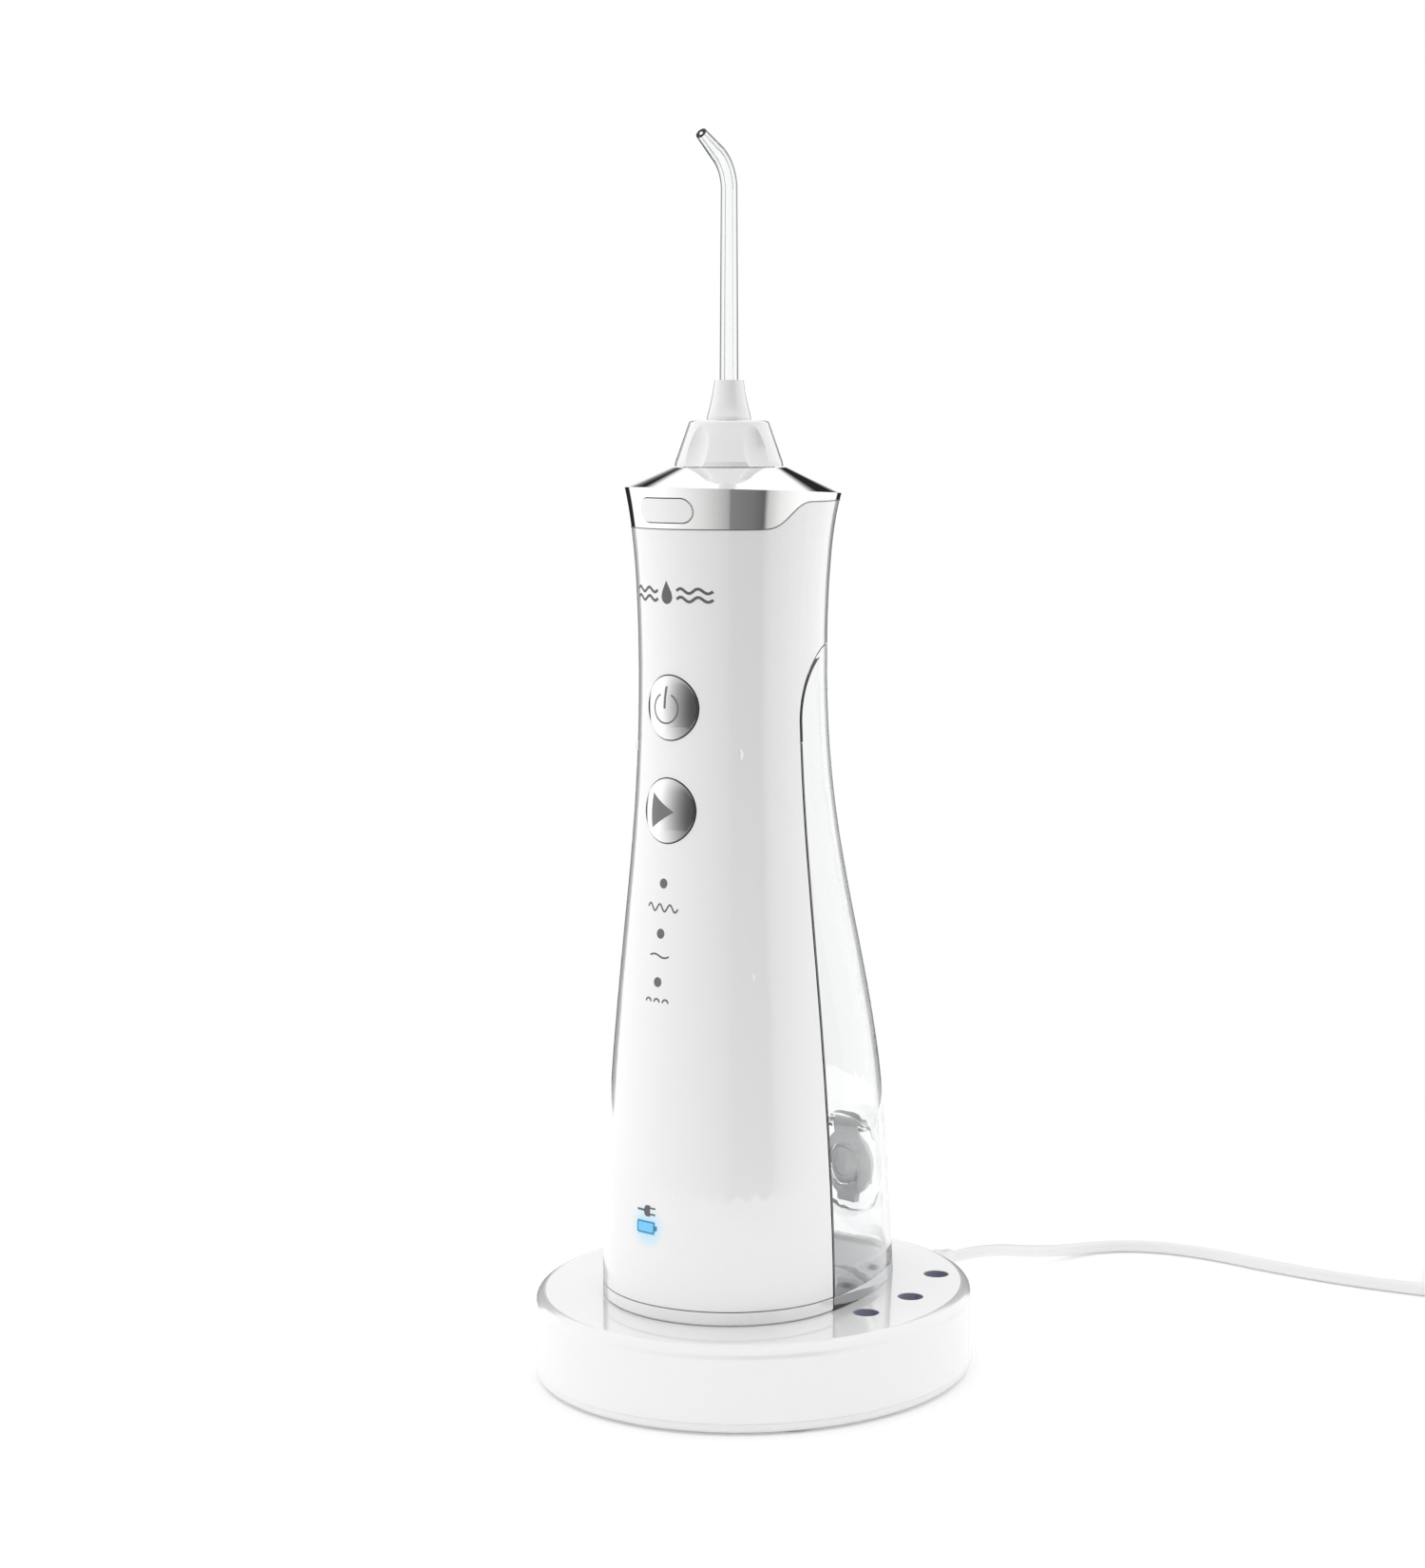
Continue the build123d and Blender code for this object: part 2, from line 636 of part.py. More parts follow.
def battery_cell():
    x, y, radius, low, high = BATTERY
    cell = upright(radius, low, high, x, y)
    cell = fillet(cell.edges(), 0.6)
    return cell + upright(2.6, high - 0.1, high + 1.0, x, y)


def battery_clip():
    """Spring contacts above and below the cell, joined by a carrier strip."""
    x, y, radius, low, high = BATTERY
    strip = block((x - 4, x + 4), (y + radius + 0.1, y + radius + 1.3), (low - 2.0, high + 3.0))
    foot = block((x - 4, x + 4), (y - 3, y + radius + 1.3), (low - 2.0, low - 0.1))
    head = block((x - 4, x + 4), (y - 3, y + radius + 1.3), (high + 1.1, high + 3.0))
    return strip + foot + head


def secondary_coil():
    low = POST_TOP + 1.9
    return post_ring(11.5, 4.6, low, low + 3.0)


def secondary_core():
    low = POST_TOP + 1.9
    return at_z(Cylinder(4.4, 3.0), 0, POST_Y, low + 1.5)


# ---- drive and pump -------------------------------------------------------------------
def motor_can():
    can = upright(MOTOR_RADIUS, MOTOR_LOW, MOTOR_TOP, MOTOR_X, PUMP_Y)
    can = fillet(can.edges(), 0.8)
    can += upright(2.4, MOTOR_TOP - 0.1, MOTOR_TOP + 1.4, MOTOR_X, PUMP_Y)
    return can - upright(0.85, MOTOR_TOP - 8.0, MOTOR_TOP + 3, MOTOR_X, PUMP_Y)


def pinion_outline(teeth, module, thin):
    """A closed spur gear outline with straight-sided teeth close to the involute."""
    pitch = teeth * module / 2
    rows = [(pitch - 1.2 * module, 0.62), (pitch - 0.3 * module, 0.56), (pitch + 0.95 * module, 0.24)]
    points = []
    for tooth in range(teeth):
        middle = 2 * math.pi * tooth / teeth
        for radius, share in rows:
            points.append((radius, middle - share * thin * math.pi / teeth))
        for radius, share in reversed(rows):
            points.append((radius, middle + share * thin * math.pi / teeth))
    return Polyline([(r * math.cos(a), r * math.sin(a)) for r, a in points], close=True)


def drive_pinion():
    low, high = GEAR_Z - 8.9, GEAR_Z - 7.1
    outline = pinion_outline(PINION_TEETH, MODULE, 0.8)
    pinion = extrude(make_face(outline), amount=high - low)
    pinion = Pos(MOTOR_X, AXIS_Y + PUMP_Y, low) * pinion
    return pinion - upright(0.81, low - 1, high + 1, MOTOR_X, PUMP_Y)


def motor_shaft():
    return upright(0.8, MOTOR_TOP - 7.8, GEAR_Z - 6.9, MOTOR_X, PUMP_Y)


def crank_gear():
    """A face gear with its teeth towards the pinion and the crank pin on its other side."""
    pitch_x = MOTOR_X - PINION_TEETH * MODULE / 2
    face_x = pitch_x - 0.65
    tip_x = pitch_x + 0.35
    gear = across_x(9.3, 5.0, face_x, PUMP_Y, GEAR_Z)
    gear += across_x(3.2, 5.5, 9.2, PUMP_Y, GEAR_Z)
    gear += across_x(1.4, 2.0, 5.1, PUMP_Y, GEAR_Z - CRANK_THROW)
    half_step = math.pi / GEAR_TEETH
    for tooth in range(GEAR_TEETH):
        angle = 2 * half_step * tooth + half_step
        low, high = 7.25, 8.75
        root, tip = 0.40 * half_step, 0.20 * half_step
        gear += gear_tooth(angle, low, high, root, tip, face_x, tip_x)
    for hole in range(5):
        angle = 2 * math.pi * (hole + 0.5) / 5 - math.pi / 2
        gear -= across_x(1.3, 4, 8, PUMP_Y + 5.0 * math.cos(angle), GEAR_Z + 5.0 * math.sin(angle))
    return gear - across_x(1.25, 0, 12, PUMP_Y, GEAR_Z)


def gear_tooth(angle, low, high, root, tip, face_x, tip_x):
    """One tapered tooth standing on the gear's face; angles are half widths seen from the axis."""
    def strip(x, half):
        corners = [(low, -half), (high, -half), (high, half), (low, half)]
        points = [(r * math.sin(angle + a), -r * math.cos(angle + a)) for r, a in corners]
        face = make_face(Polyline(points, close=True))
        return Pos(x, AXIS_Y + PUMP_Y, GEAR_Z) * (Plane.YZ * face)
    return loft([strip(face_x - 0.1, root), strip(tip_x, tip)])


def gear_axle():
    return across_x(1.2, 5.05, 12.9, PUMP_Y, GEAR_Z) + across_x(2.2, 12.8, 13.8, PUMP_Y, GEAR_Z)


def gearbox_frame():
    """The bracket above the motor that carries the gear's axle."""
    y = PUMP_Y
    deck = block((2.6, 19.0), (y - 7.0, y + 7.0), (MOTOR_TOP + 0.1, MOTOR_TOP + 2.0))
    deck -= upright(3.0, 60, 70, MOTOR_X, y)
    arch = block((9.6, 12.7), (y - 6.5, y + 6.5), (MOTOR_TOP + 1.9, GEAR_Z + 3.5))
    arch -= block((9.0, 14.0), (y - 4.1, y + 4.1), (MOTOR_TOP, GEAR_Z - 3.5))
    return deck + arch - across_x(1.22, 5, 13.5, y, GEAR_Z)


def pump_cylinder():
    y = PUMP_Y
    barrel = upright(PUMP_BORE + PUMP_WALL, 94, 126, y=y)
    head = block((-8.5, 8.5), (y - 4.4, y + 4.6), (124, 134))
    ear = block((-12, 12), (y + 1.0, y + 4.6), (114, 118))
    pump = barrel + fillet(head.edges().filter_by(Axis.Z), 1.5) + ear
    pump -= upright(PUMP_BORE, 90, 124, y=y)
    for side in (-1, 1):
        pump -= upright(1.2, 120, 130, side * 2.2, y)
        pump -= upright(2.6, 127, 140, side * VALVE_X, y)
        pump -= block((side * 3.5 - 1.5, side * 3.5 + 1.5), (y - 1, y + 1), (125.5, 127.5))
    return pump


def piston():
    body = upright(PUMP_BORE - 0.05, 96.5, 111.5, y=PUMP_Y)
    body -= upright(PUMP_BORE + 1, 107.5, 109.0, y=PUMP_Y) - upright(2.6, 100, 115, y=PUMP_Y)
    body -= block((-1.9, 1.9), (PUMP_Y - 5, PUMP_Y + 5), (90, 102.2))
    return body - across_x(0.95, -6, 6, PUMP_Y, GEAR_Z - CRANK_THROW + ROD_LENGTH)


def piston_seal():
    ring = upright(PUMP_BORE - 0.02, 107.55, 108.95, y=PUMP_Y)
    return ring - upright(2.65, 100, 115, y=PUMP_Y)


def wrist_pin():
    return across_x(0.92, -3.2, 3.2, PUMP_Y, GEAR_Z - CRANK_THROW + ROD_LENGTH)


def connecting_rod():
    low = GEAR_Z - CRANK_THROW
    high = low + ROD_LENGTH
    rod = across_x(3.0, -1.55, 1.55, PUMP_Y, low) + across_x(2.1, -1.55, 1.55, PUMP_Y, high)
    rod += block((-1.2, 1.2), (PUMP_Y - 1.3, PUMP_Y + 1.3), (low + 1, high - 1))
    rod -= across_x(1.45, -3, 3, PUMP_Y, low)
    return rod - across_x(0.98, -3, 3, PUMP_Y, high)


def duckbill_valve(side):
    """A silicone duckbill: a round seat with a tapering bill."""
    seat = Cylinder(2.55, 1.4)
    bill = (Box(1.0, 3.2, 2.8) + Box(3.2, 1.0, 2.8)) & Cylinder(1.7, 2.8)
    shape = seat + Pos(0, 0, 1.9) * Cone(1.9, 1.1, 2.6) + Pos(0, 0, 2.0) * bill
    return Pos(side * VALVE_X, AXIS_Y + PUMP_Y, 128.2) * shape


def hose(points, radii, outer, bore):
    path = FilletPolyline(points, radius=radii)
    start = Plane(origin=path @ 0, z_dir=path % 0)
    return sweep(start * Circle(outer), path=path) - sweep(start * Circle(bore), path=path)


def suction_hose():
    """From the tank's spigot to the pump's inlet."""
    y0 = AXIS_Y + seam_at(SPIGOT_Z) - 4.0
    y1 = AXIS_Y + PUMP_Y
    points = [(0, y0, SPIGOT_Z), (0, y0 - 3.6, SPIGOT_Z), (-VALVE_X, y1, 142.0), (-VALVE_X, y1, 134.0)]
    return hose(points, [1.6, 3.2], 1.9, 1.1)


def outlet_tube():
    """From the pump's outlet up to the nozzle seat."""
    y1 = AXIS_Y + PUMP_Y
    points = [(VALVE_X, y1, 134.0), (VALVE_X, y1, 160.0), (0, AXIS_Y, 186.0), (0, AXIS_Y, 197.0)]
    return hose(points, [20.0, 20.0], 2.1, 1.2)


def nozzle_seat(inner):
    body = upright(6.0, 197.0, 213.2) + upright(9.0, 205.0, 207.5)
    for side in (-1, 1):
        body += block((side * 13 - 7, side * 13 + 7), (-2.5, 2.5), (205.0, 207.5))
    body += spring_post(inner)
    body = body & inner
    body -= upright(SHANK_RADIUS + 0.3, SHANK_LOW - 0.6, 230)
    body -= upright(SHANK_RADIUS + 0.9, 209.0, 211.0)
    return body - upright(1.2, 190, 230)


def nozzle_oring():
    ring = upright(SHANK_RADIUS + 0.85, 209.1, 210.9)
    return ring - upright(SHANK_RADIUS + 0.05, 200, 220)


# ---- knob and nozzle ------------------------------------------------------------------
def nozzle_knob():
    outline = [
        Line((SHANK_RADIUS + 0.3, KNOB_LOW - 3.0), (COLLAR_HOLE - 0.4, KNOB_LOW - 3.0)),
        Line((COLLAR_HOLE - 0.4, KNOB_LOW - 3.0), (COLLAR_HOLE - 0.4, KNOB_LOW)),
        Line((COLLAR_HOLE - 0.4, KNOB_LOW), (KNOB_RADII[0], KNOB_LOW)),
        Line((KNOB_RADII[0], KNOB_LOW), (KNOB_RADII[0] - 0.2, KNOB_LOW + 1.2)),
        Line((KNOB_RADII[0] - 0.2, KNOB_LOW + 1.2), (KNOB_RADII[1] + 0.45, KNOB_TOP - 0.9)),
        ThreePointArc((KNOB_RADII[1] + 0.45, KNOB_TOP - 0.9), (KNOB_RADII[1] + 0.1, KNOB_TOP - 0.25),
                      (KNOB_RADII[1] - 0.6, KNOB_TOP)),
        Line((KNOB_RADII[1] - 0.6, KNOB_TOP), (SHANK_RADIUS + 0.3, KNOB_TOP)),
        Line((SHANK_RADIUS + 0.3, KNOB_TOP), (SHANK_RADIUS + 0.3, KNOB_LOW - 3.0)),
    ]
    knob = revolve(Plane.XZ * make_face(outline), Axis.Z)
    slope = math.degrees(math.atan2(KNOB_RADII[0] - KNOB_RADII[1], KNOB_TOP - KNOB_LOW))
    scallop = knob_scallop()
    middle = (KNOB_RADII[0] + KNOB_RADII[1]) / 2
    away = middle + FLUTE_AXES[0] - FLUTE_DEPTH
    for flute in range(FLUTES):
        turn = Rot(0, 0, 360 * flute / FLUTES - 90)
        knob -= turn * Pos(away, 0, (KNOB_LOW + KNOB_TOP) / 2) * Rot(0, -slope, 0) * scallop
    return Pos(0, AXIS_Y, 0) * knob


def knob_scallop():
    """An egg that leaves one shallow oval flute in the knob's side."""
    wide, tall = FLUTE_AXES
    half = [EllipticalCenterArc((0, 0), wide, tall, -90, arc_size=180), Line((0, -tall), (0, tall))]
    return revolve(Plane.XZ * make_face(half), Axis.Z)


def nozzle_collar():
    """The white cone round the tube's foot and the shank below it, one moulding."""
    low = KNOB_TOP + 0.05
    bore = TUBE_RADII[0]
    outline = [
        Line((bore, low), (TIP_COLLAR_RADII[0], low)),
        Line((TIP_COLLAR_RADII[0], low), (TIP_COLLAR_RADII[0], low + 0.8)),
        ThreePointArc((TIP_COLLAR_RADII[0], low + 0.8), (4.3, low + 4.8),
                      (TIP_COLLAR_RADII[1], TIP_COLLAR_TOP)),
        Line((TIP_COLLAR_RADII[1], TIP_COLLAR_TOP), (bore, TIP_COLLAR_TOP)),
        Line((bore, TIP_COLLAR_TOP), (bore, low)),
    ]
    cone = revolve(Plane.XZ * make_face(outline), Axis.Z)
    shank = at_z(Cylinder(SHANK_RADIUS, low - SHANK_LOW), 0, 0, (low + SHANK_LOW) / 2)
    shank += at_z(Cylinder(SHANK_RADIUS, 0.6), 0, 0, low + 0.2)
    shank -= at_z(Cylinder(SHANK_RADIUS + 1, 2.4) - Cylinder(2.5, 2.4), 0, 0, RELEASE_Z)
    collar = cone + shank
    collar -= at_z(Cylinder(bore, 40), 0, 0, TUBE_LOW + 20)
    collar -= at_z(Cylinder(TUBE_BORES[0], 60), 0, 0, TUBE_LOW - 6)
    return Pos(0, AXIS_Y, 0) * collar


def nozzle_tube():
    """The clear tube, straight and then bent towards the front, with a tapered end."""
    bend = math.radians(BEND_TURN)
    knee = Vector(0, AXIS_Y, BEND_Z + BEND_RADIUS * math.tan(bend / 2))
    onwards = Vector(0, -math.sin(bend), math.cos(bend))
    rise = TIP_TOP - knee.Z - TUBE_RADII[2] * math.sin(bend)
    tip = knee + onwards * (rise / math.cos(bend))
    path = FilletPolyline([(0, AXIS_Y, TUBE_LOW), tuple(knee), tuple(tip)], radius=BEND_RADIUS)
    return tapered_bar(path, TUBE_RADII) - tapered_bar(path, TUBE_BORES)


def tapered_bar(path, radii):
    """A round bar along a straight run, an arc and a second run, with a radius at each change."""
    straight, arc, end = path.edges().sort_by(Axis.Z)
    foot, middle, tip = radii
    lower = loft([Plane(origin=straight @ 0) * Circle(foot), Plane(origin=straight @ 1) * Circle(middle)])
    knee = sweep(Plane(origin=arc @ 0, z_dir=arc % 0) * Circle(middle), path=arc)
    ends = [Plane(origin=end @ at, z_dir=end % at) * Circle(size) for at, size in ((0, middle), (1, tip))]
    last = loft(ends)
    return lower + knee + last


# ---- build everything -------------------------------------------------------------------
def save(name, shape):
    solids = []
    for piece in (shape if isinstance(shape, list) else [shape]):
        solids.extend(piece.solids())
    group = solids[0] if len(solids) == 1 else Compound(children=solids)
    export_step(group, f"parts/{name}.step")


def main():
    os.makedirs("parts", exist_ok=True)
    outer = envelope()
    inner = envelope(WALL)
    inner_clear = envelope(WALL + 0.1)
    proud = envelope(-0.35)
    nodes = {
        "base_shell": base_shell(),
        "base_plate": base_plate(),
        "base_feet": base_feet(),
        "base_screws": base_screws(),
        "tip_cups": tip_cups(),
        "primary_coil": post_ring(10.4, 4.4, 20.2, 25.6),
        "primary_core": primary_core(),
        "charger_board": charger_board(),
        "cord_strain_relief": cord_strain_relief(),
        "power_cord": power_cord(),
        "cord_coil": cord_coil(),
        "plug_body": plug_body(),
        "plug_blades": plug_blades(),
        "front_housing": front_housing(outer, inner),
        "rear_frame": rear_frame(inner_clear),
        "housing_screws": housing_screws(),
        "handle_base_cap": handle_base_cap(outer, inner_clear),
        "chrome_collar": chrome_collar(outer, inner),
        "reservoir_tank": reservoir_tank(outer, inner),
        "reservoir_front": reservoir_front(inner_clear),
        "reservoir_seal": reservoir_seal(),
        "intake_tube": intake_tube(),
        "intake_filter": intake_filter(),
        "fill_cap": fill_cap(),
        "fill_cap_seal": fill_cap_seal(),
        "hinge_pin": hinge_pin(),
        "power_button": round_button(BUTTONS[0], proud),
        "mode_button": round_button(BUTTONS[1], proud),
        "button_seals": button_seals(),
        "release_button": release_button(proud),
        "release_spring": release_spring(),
        "indicator_lenses": indicator_lenses(outer),
        "charge_lens": charge_lens(outer),
        "control_board": control_board(),
        "tact_switches": tact_switches(),
        "indicator_leds": indicator_leds(),
        "charge_board": charge_board(),
        "battery_cell": battery_cell(),
        "battery_clip": battery_clip(),
        "secondary_coil": secondary_coil(),
        "secondary_core": secondary_core(),
        "motor_can": motor_can(),
        "motor_shaft": motor_shaft(),
        "drive_pinion": drive_pinion(),
        "crank_gear": crank_gear(),
        "gear_axle": gear_axle(),
        "gearbox_frame": gearbox_frame(),
        "pump_cylinder": pump_cylinder(),
        "piston": piston(),
        "piston_seal": piston_seal(),
        "wrist_pin": wrist_pin(),
        "connecting_rod": connecting_rod(),
        "duckbill_valves": [duckbill_valve(-1), duckbill_valve(1)],
        "suction_hose": suction_hose(),
        "outlet_tube": outlet_tube(),
        "nozzle_seat": nozzle_seat(inner_clear),
        "nozzle_oring": nozzle_oring(),
        "nozzle_knob": nozzle_knob(),
        "nozzle_collar": nozzle_collar(),
        "nozzle_tube": nozzle_tube(),
    }
    for name, shape in nodes.items():
        save(name, shape)
    print(len(nodes), "nodes")


main()
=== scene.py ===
import json
import math

import bpy
from mathutils import Matrix, Vector
from mathutils.bvhtree import BVHTree


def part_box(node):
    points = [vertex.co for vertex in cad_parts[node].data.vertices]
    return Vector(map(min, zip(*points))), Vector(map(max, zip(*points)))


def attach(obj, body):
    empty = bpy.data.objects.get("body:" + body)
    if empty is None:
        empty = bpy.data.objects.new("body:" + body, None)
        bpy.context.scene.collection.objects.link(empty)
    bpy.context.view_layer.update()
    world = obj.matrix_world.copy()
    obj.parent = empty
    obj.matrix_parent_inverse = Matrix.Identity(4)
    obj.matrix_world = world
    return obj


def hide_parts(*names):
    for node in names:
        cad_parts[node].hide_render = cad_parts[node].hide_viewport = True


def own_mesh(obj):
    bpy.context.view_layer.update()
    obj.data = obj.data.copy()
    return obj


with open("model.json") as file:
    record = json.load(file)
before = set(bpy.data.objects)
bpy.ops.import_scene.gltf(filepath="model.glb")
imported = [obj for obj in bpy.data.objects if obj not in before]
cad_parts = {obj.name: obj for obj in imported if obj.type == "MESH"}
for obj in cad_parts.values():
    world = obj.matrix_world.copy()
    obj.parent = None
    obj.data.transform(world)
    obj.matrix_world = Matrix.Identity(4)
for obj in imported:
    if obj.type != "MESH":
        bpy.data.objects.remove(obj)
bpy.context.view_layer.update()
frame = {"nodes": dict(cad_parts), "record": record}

# The looks of a cordless water flosser on its charging base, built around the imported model.
# Metres, +Z up, the front with the buttons faces -Y. Sizes written in millimetres use MM.

MM = 0.001

# ---- camera -------------------------------------------------------------------------
CAMERA_AT = (0.4708, -0.5775, 0.2365)
CAMERA_TURN = math.radians(40.0)       # round the object, from straight in front towards +X
CAMERA_PITCH = math.radians(6.806)     # looking down
LENS_MM = 69.80
SENSOR_MM = 36.0

# ---- the cord's route, in millimetres, as in the part's source but for the coil -----
CORD_DIAMETER = 3.4
RELIEF_TURN = math.radians(7.0)
RELIEF_START = (1.5, 53.0, 11.8)
RELIEF_LENGTH = 25.4
ROUTE = [
    (5.7, 88.0, 11.4), (5.6, 100.0, 9.4), (4.6, 115.0, 5.6), (5.2, 131.0, 2.4), (10.4, 145.5, 1.8),
    (21.5, 154.4, 1.8), (37.0, 158.2, 1.8), (58.0, 157.6, 1.8), (82.0, 159.4, 1.8), (106.0, 165.3, 1.8),
]
COIL_CENTRE = (116.0, 192.0)           # 3 mm behind its CAD solid, where the camera doesn't see it
TURN_RADII = (23.8, 20.3, 16.8)
LAYERS = (2.0, 5.45, 8.9)
TURN_POINTS = 16
COIL_START = math.radians(-84.0)
CHANGE_POINTS = 4                      # a change of turn takes this many points
CHANGES = (8, 8, 12, 8, 8, 4, 16)      # and starts at this point of each turn, so that no two meet
PLUG_LEAD = (143.2, 194.4, 7.55)
PLUG_TURN = math.radians(12.0)

# ---- places on the handle and the base, in millimetres ------------------------------
BUTTON_RADIUS = 7.7
BUTTON_DOME = 1.6
BUTTON_FLAT = 0.955                    # the share of a button's radius where its rounded edge starts
BUTTON_EDGE = 0.34
BUTTON_BACK = 2.15
STEM_RADIUS = 1.5
BUTTONS = {"power": 168.8, "mode": 144.2}
EMBLEM_Z = 196.0
MODE_MARKS_Z = (121.0, 109.5, 98.8)
PLUG_MARK_Z = 48.0
BATTERY_MARK_Z = 44.0
WINDOW_REACH = 2.2                     # the charge window lies within this of the battery sign's middle
TANK_FLOOR_Z = 24.4
TANK_FLOOR_FADE = 0.7
COLLAR_SEAM = 209.0                    # the chrome collar's lower edge lies above this height
SEAM_STEP = 0.04
WELLS = ((37.8, -3.4), (38.0, 14.5), (31.1, 34.9))
WELL_RADIUS = 3.2
WELL_FLOOR = 7.6
WELL_TOP = 21.5
AXIS = Vector((0, -10.25, 0)) * MM     # the handle's axis
MARK_LIFT = 0.04                       # a printed mark stands this far off its surface
MARK_DEPTH = 0.10


# ---- mesh helpers -------------------------------------------------------------------
def mesh_piece(name, points, faces, body, slot, smooth=True):
    """A mesh from points in metres, riding on a CAD body and finished as a material slot."""
    mesh = bpy.data.meshes.new(name)
    mesh.from_pydata(points, [], faces)
    mesh.validate()
    mesh.polygons.foreach_set("use_smooth", [smooth] * len(mesh.polygons))
    piece = bpy.data.objects.new(name, mesh)
    bpy.context.scene.collection.objects.link(piece)
    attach(piece, body)
    mesh.materials.append(finishes[slot])
    return piece


def lathe(profile, place, segments=64):
    """Points and faces of a closed solid turned from (radius, height) pairs in millimetres."""
    points = []
    for radius, height in profile:
        for step in range(segments):
            angle = 2 * math.pi * step / segments
            spot = Vector((radius * math.cos(angle), radius * math.sin(angle), height)) * MM
            points.append(place @ spot)
    faces = []
    for row in range(len(profile) - 1):
        for step in range(segments):
            here = row * segments + step
            beside = row * segments + (step + 1) % segments
            faces.append((here, beside, beside + segments, here + segments))
    last = (len(profile) - 1) * segments
    faces.append(tuple(reversed(range(segments))))
    faces.append(tuple(last + step for step in range(segments)))
    return points, faces


def rays_onto(node):
    """A tree of a CAD node's faces, which finds where a ray meets them."""
    mesh = cad[node].data
    corners = [vertex.co.copy() for vertex in mesh.vertices]
    return BVHTree.FromPolygons(corners, [tuple(face.vertices) for face in mesh.polygons])


def front_of(node):
    """A function that gives the Y of a CAD node's front surface at x and z in millimetres."""
    tree = rays_onto(node)

    def front_y(x, z):
        spot = tree.ray_cast(Vector((x * MM, -0.2, z * MM)), Vector((0, 1, 0)))[0]
        return spot.y if spot else math.inf
    return front_y


def inked(name, strips, surface, body, slot):
    """A printed mark: strips of paired (x, z) edge points laid on a surface and given a depth."""
    points = []
    faces = []
    for strip in strips:
        first = len(points)
        columns = len(strip[0])
        for row in strip:
            for x, z in row:
                points.append((x * MM, surface(x, z) - MARK_LIFT * MM, z * MM))
        for row in range(len(strip) - 1):
            for column in range(columns - 1):
                low = first + row * columns + column
                faces.append((low, low + 1, low + 1 + columns, low + columns))
    mark = mesh_piece(name, points, faces, body, slot, smooth=False)
    for face in mark.data.polygons:
        if face.normal.y > 0:
            face.flip()
    depth = mark.modifiers.new("depth", "SOLIDIFY")
    depth.thickness = MARK_DEPTH * MM
    depth.offset = -1
    return mark


def line_strip(path, width):
    """A strip of even width along a path of (x, z) points."""
    rows = []
    for step, here in enumerate(path):
        before = path[max(step - 1, 0)]
        after = path[min(step + 1, len(path) - 1)]
        along = Vector((after[0] - before[0], after[1] - before[1])).normalized()
        side = Vector((-along.y, along.x)) * width / 2
        rows.append([(here[0] + side.x * share, here[1] + side.y * share) for share in (-1, 0, 1)])
    return rows


def filled_strip(rows, columns=9):
    """A filled shape from rows of (z, left x, right x)."""
    shares = [step / (columns - 1) for step in range(columns)]
    return [[(left + (right - left) * share, z) for share in shares] for z, left, right in rows]


def arc_path(centre, radius, start, end, steps=28):
    """Points on an arc, angles in degrees from +X towards +Z."""
    path = []
    for step in range(steps + 1):
        angle = math.radians(start + (end - start) * step / steps)
        path.append((centre[0] + radius * math.cos(angle), centre[1] + radius * math.sin(angle)))
    return path


def wave_path(left, right, z, height, waves, steps=48):
    """Points on a sine line from left to right."""
    path = []
    for step in range(steps + 1):
        share = step / steps
        path.append((left + (right - left) * share, z + height * math.sin(2 * math.pi * waves * share)))
    return path


# ---- materials ----------------------------------------------------------------------
def colour_sockets(mix):
    """A colour mix node's two colour inputs and its colour output."""
    first, second = [socket for socket in mix.inputs if socket.type == "RGBA"]
    result = [socket for socket in mix.outputs if socket.type == "RGBA"][0]
    return first, second, result


def finish(name, light, dark, rough, grain, bump, stretch=(1, 1, 1), **sockets):
    """Two close tones and a roughness range mixed by noise, with a fine bump on top."""
    material = bpy.data.materials.new(f"{name}.finish")
    material.use_nodes = True
    nodes = material.node_tree.nodes
    link = material.node_tree.links.new
    shader = nodes["Principled BSDF"]
    place = nodes.new("ShaderNodeTexCoord")
    scale = nodes.new("ShaderNodeMapping")
    scale.inputs["Scale"].default_value = stretch
    link(place.outputs["Object"], scale.inputs["Vector"])
    noise = nodes.new("ShaderNodeTexNoise")
    noise.inputs["Scale"].default_value = grain
    noise.inputs["Detail"].default_value = 5
    link(scale.outputs["Vector"], noise.inputs["Vector"])
    tone = nodes.new("ShaderNodeMix")
    tone.data_type = "RGBA"
    low_tone, high_tone, mixed_tone = colour_sockets(tone)
    low_tone.default_value = (*dark, 1)
    high_tone.default_value = (*light, 1)
    link(noise.outputs["Fac"], tone.inputs["Factor"])
    link(mixed_tone, shader.inputs["Base Color"])
    gloss = nodes.new("ShaderNodeMapRange")
    gloss.inputs["From Min"].default_value = 0.3
    gloss.inputs["From Max"].default_value = 0.7
    gloss.inputs["To Min"].default_value = rough[0]
    gloss.inputs["To Max"].default_value = rough[1]
    link(noise.outputs["Fac"], gloss.inputs["Value"])
    link(gloss.outputs["Result"], shader.inputs["Roughness"])
    ripple = nodes.new("ShaderNodeBump")
    ripple.inputs["Strength"].default_value = 1.0
    ripple.inputs["Distance"].default_value = bump * MM
    link(noise.outputs["Fac"], ripple.inputs["Height"])
    link(ripple.outputs["Normal"], shader.inputs["Normal"])
    for socket, value in sockets.items():
        shader.inputs[socket.replace("_", " ")].default_value = value
    return material


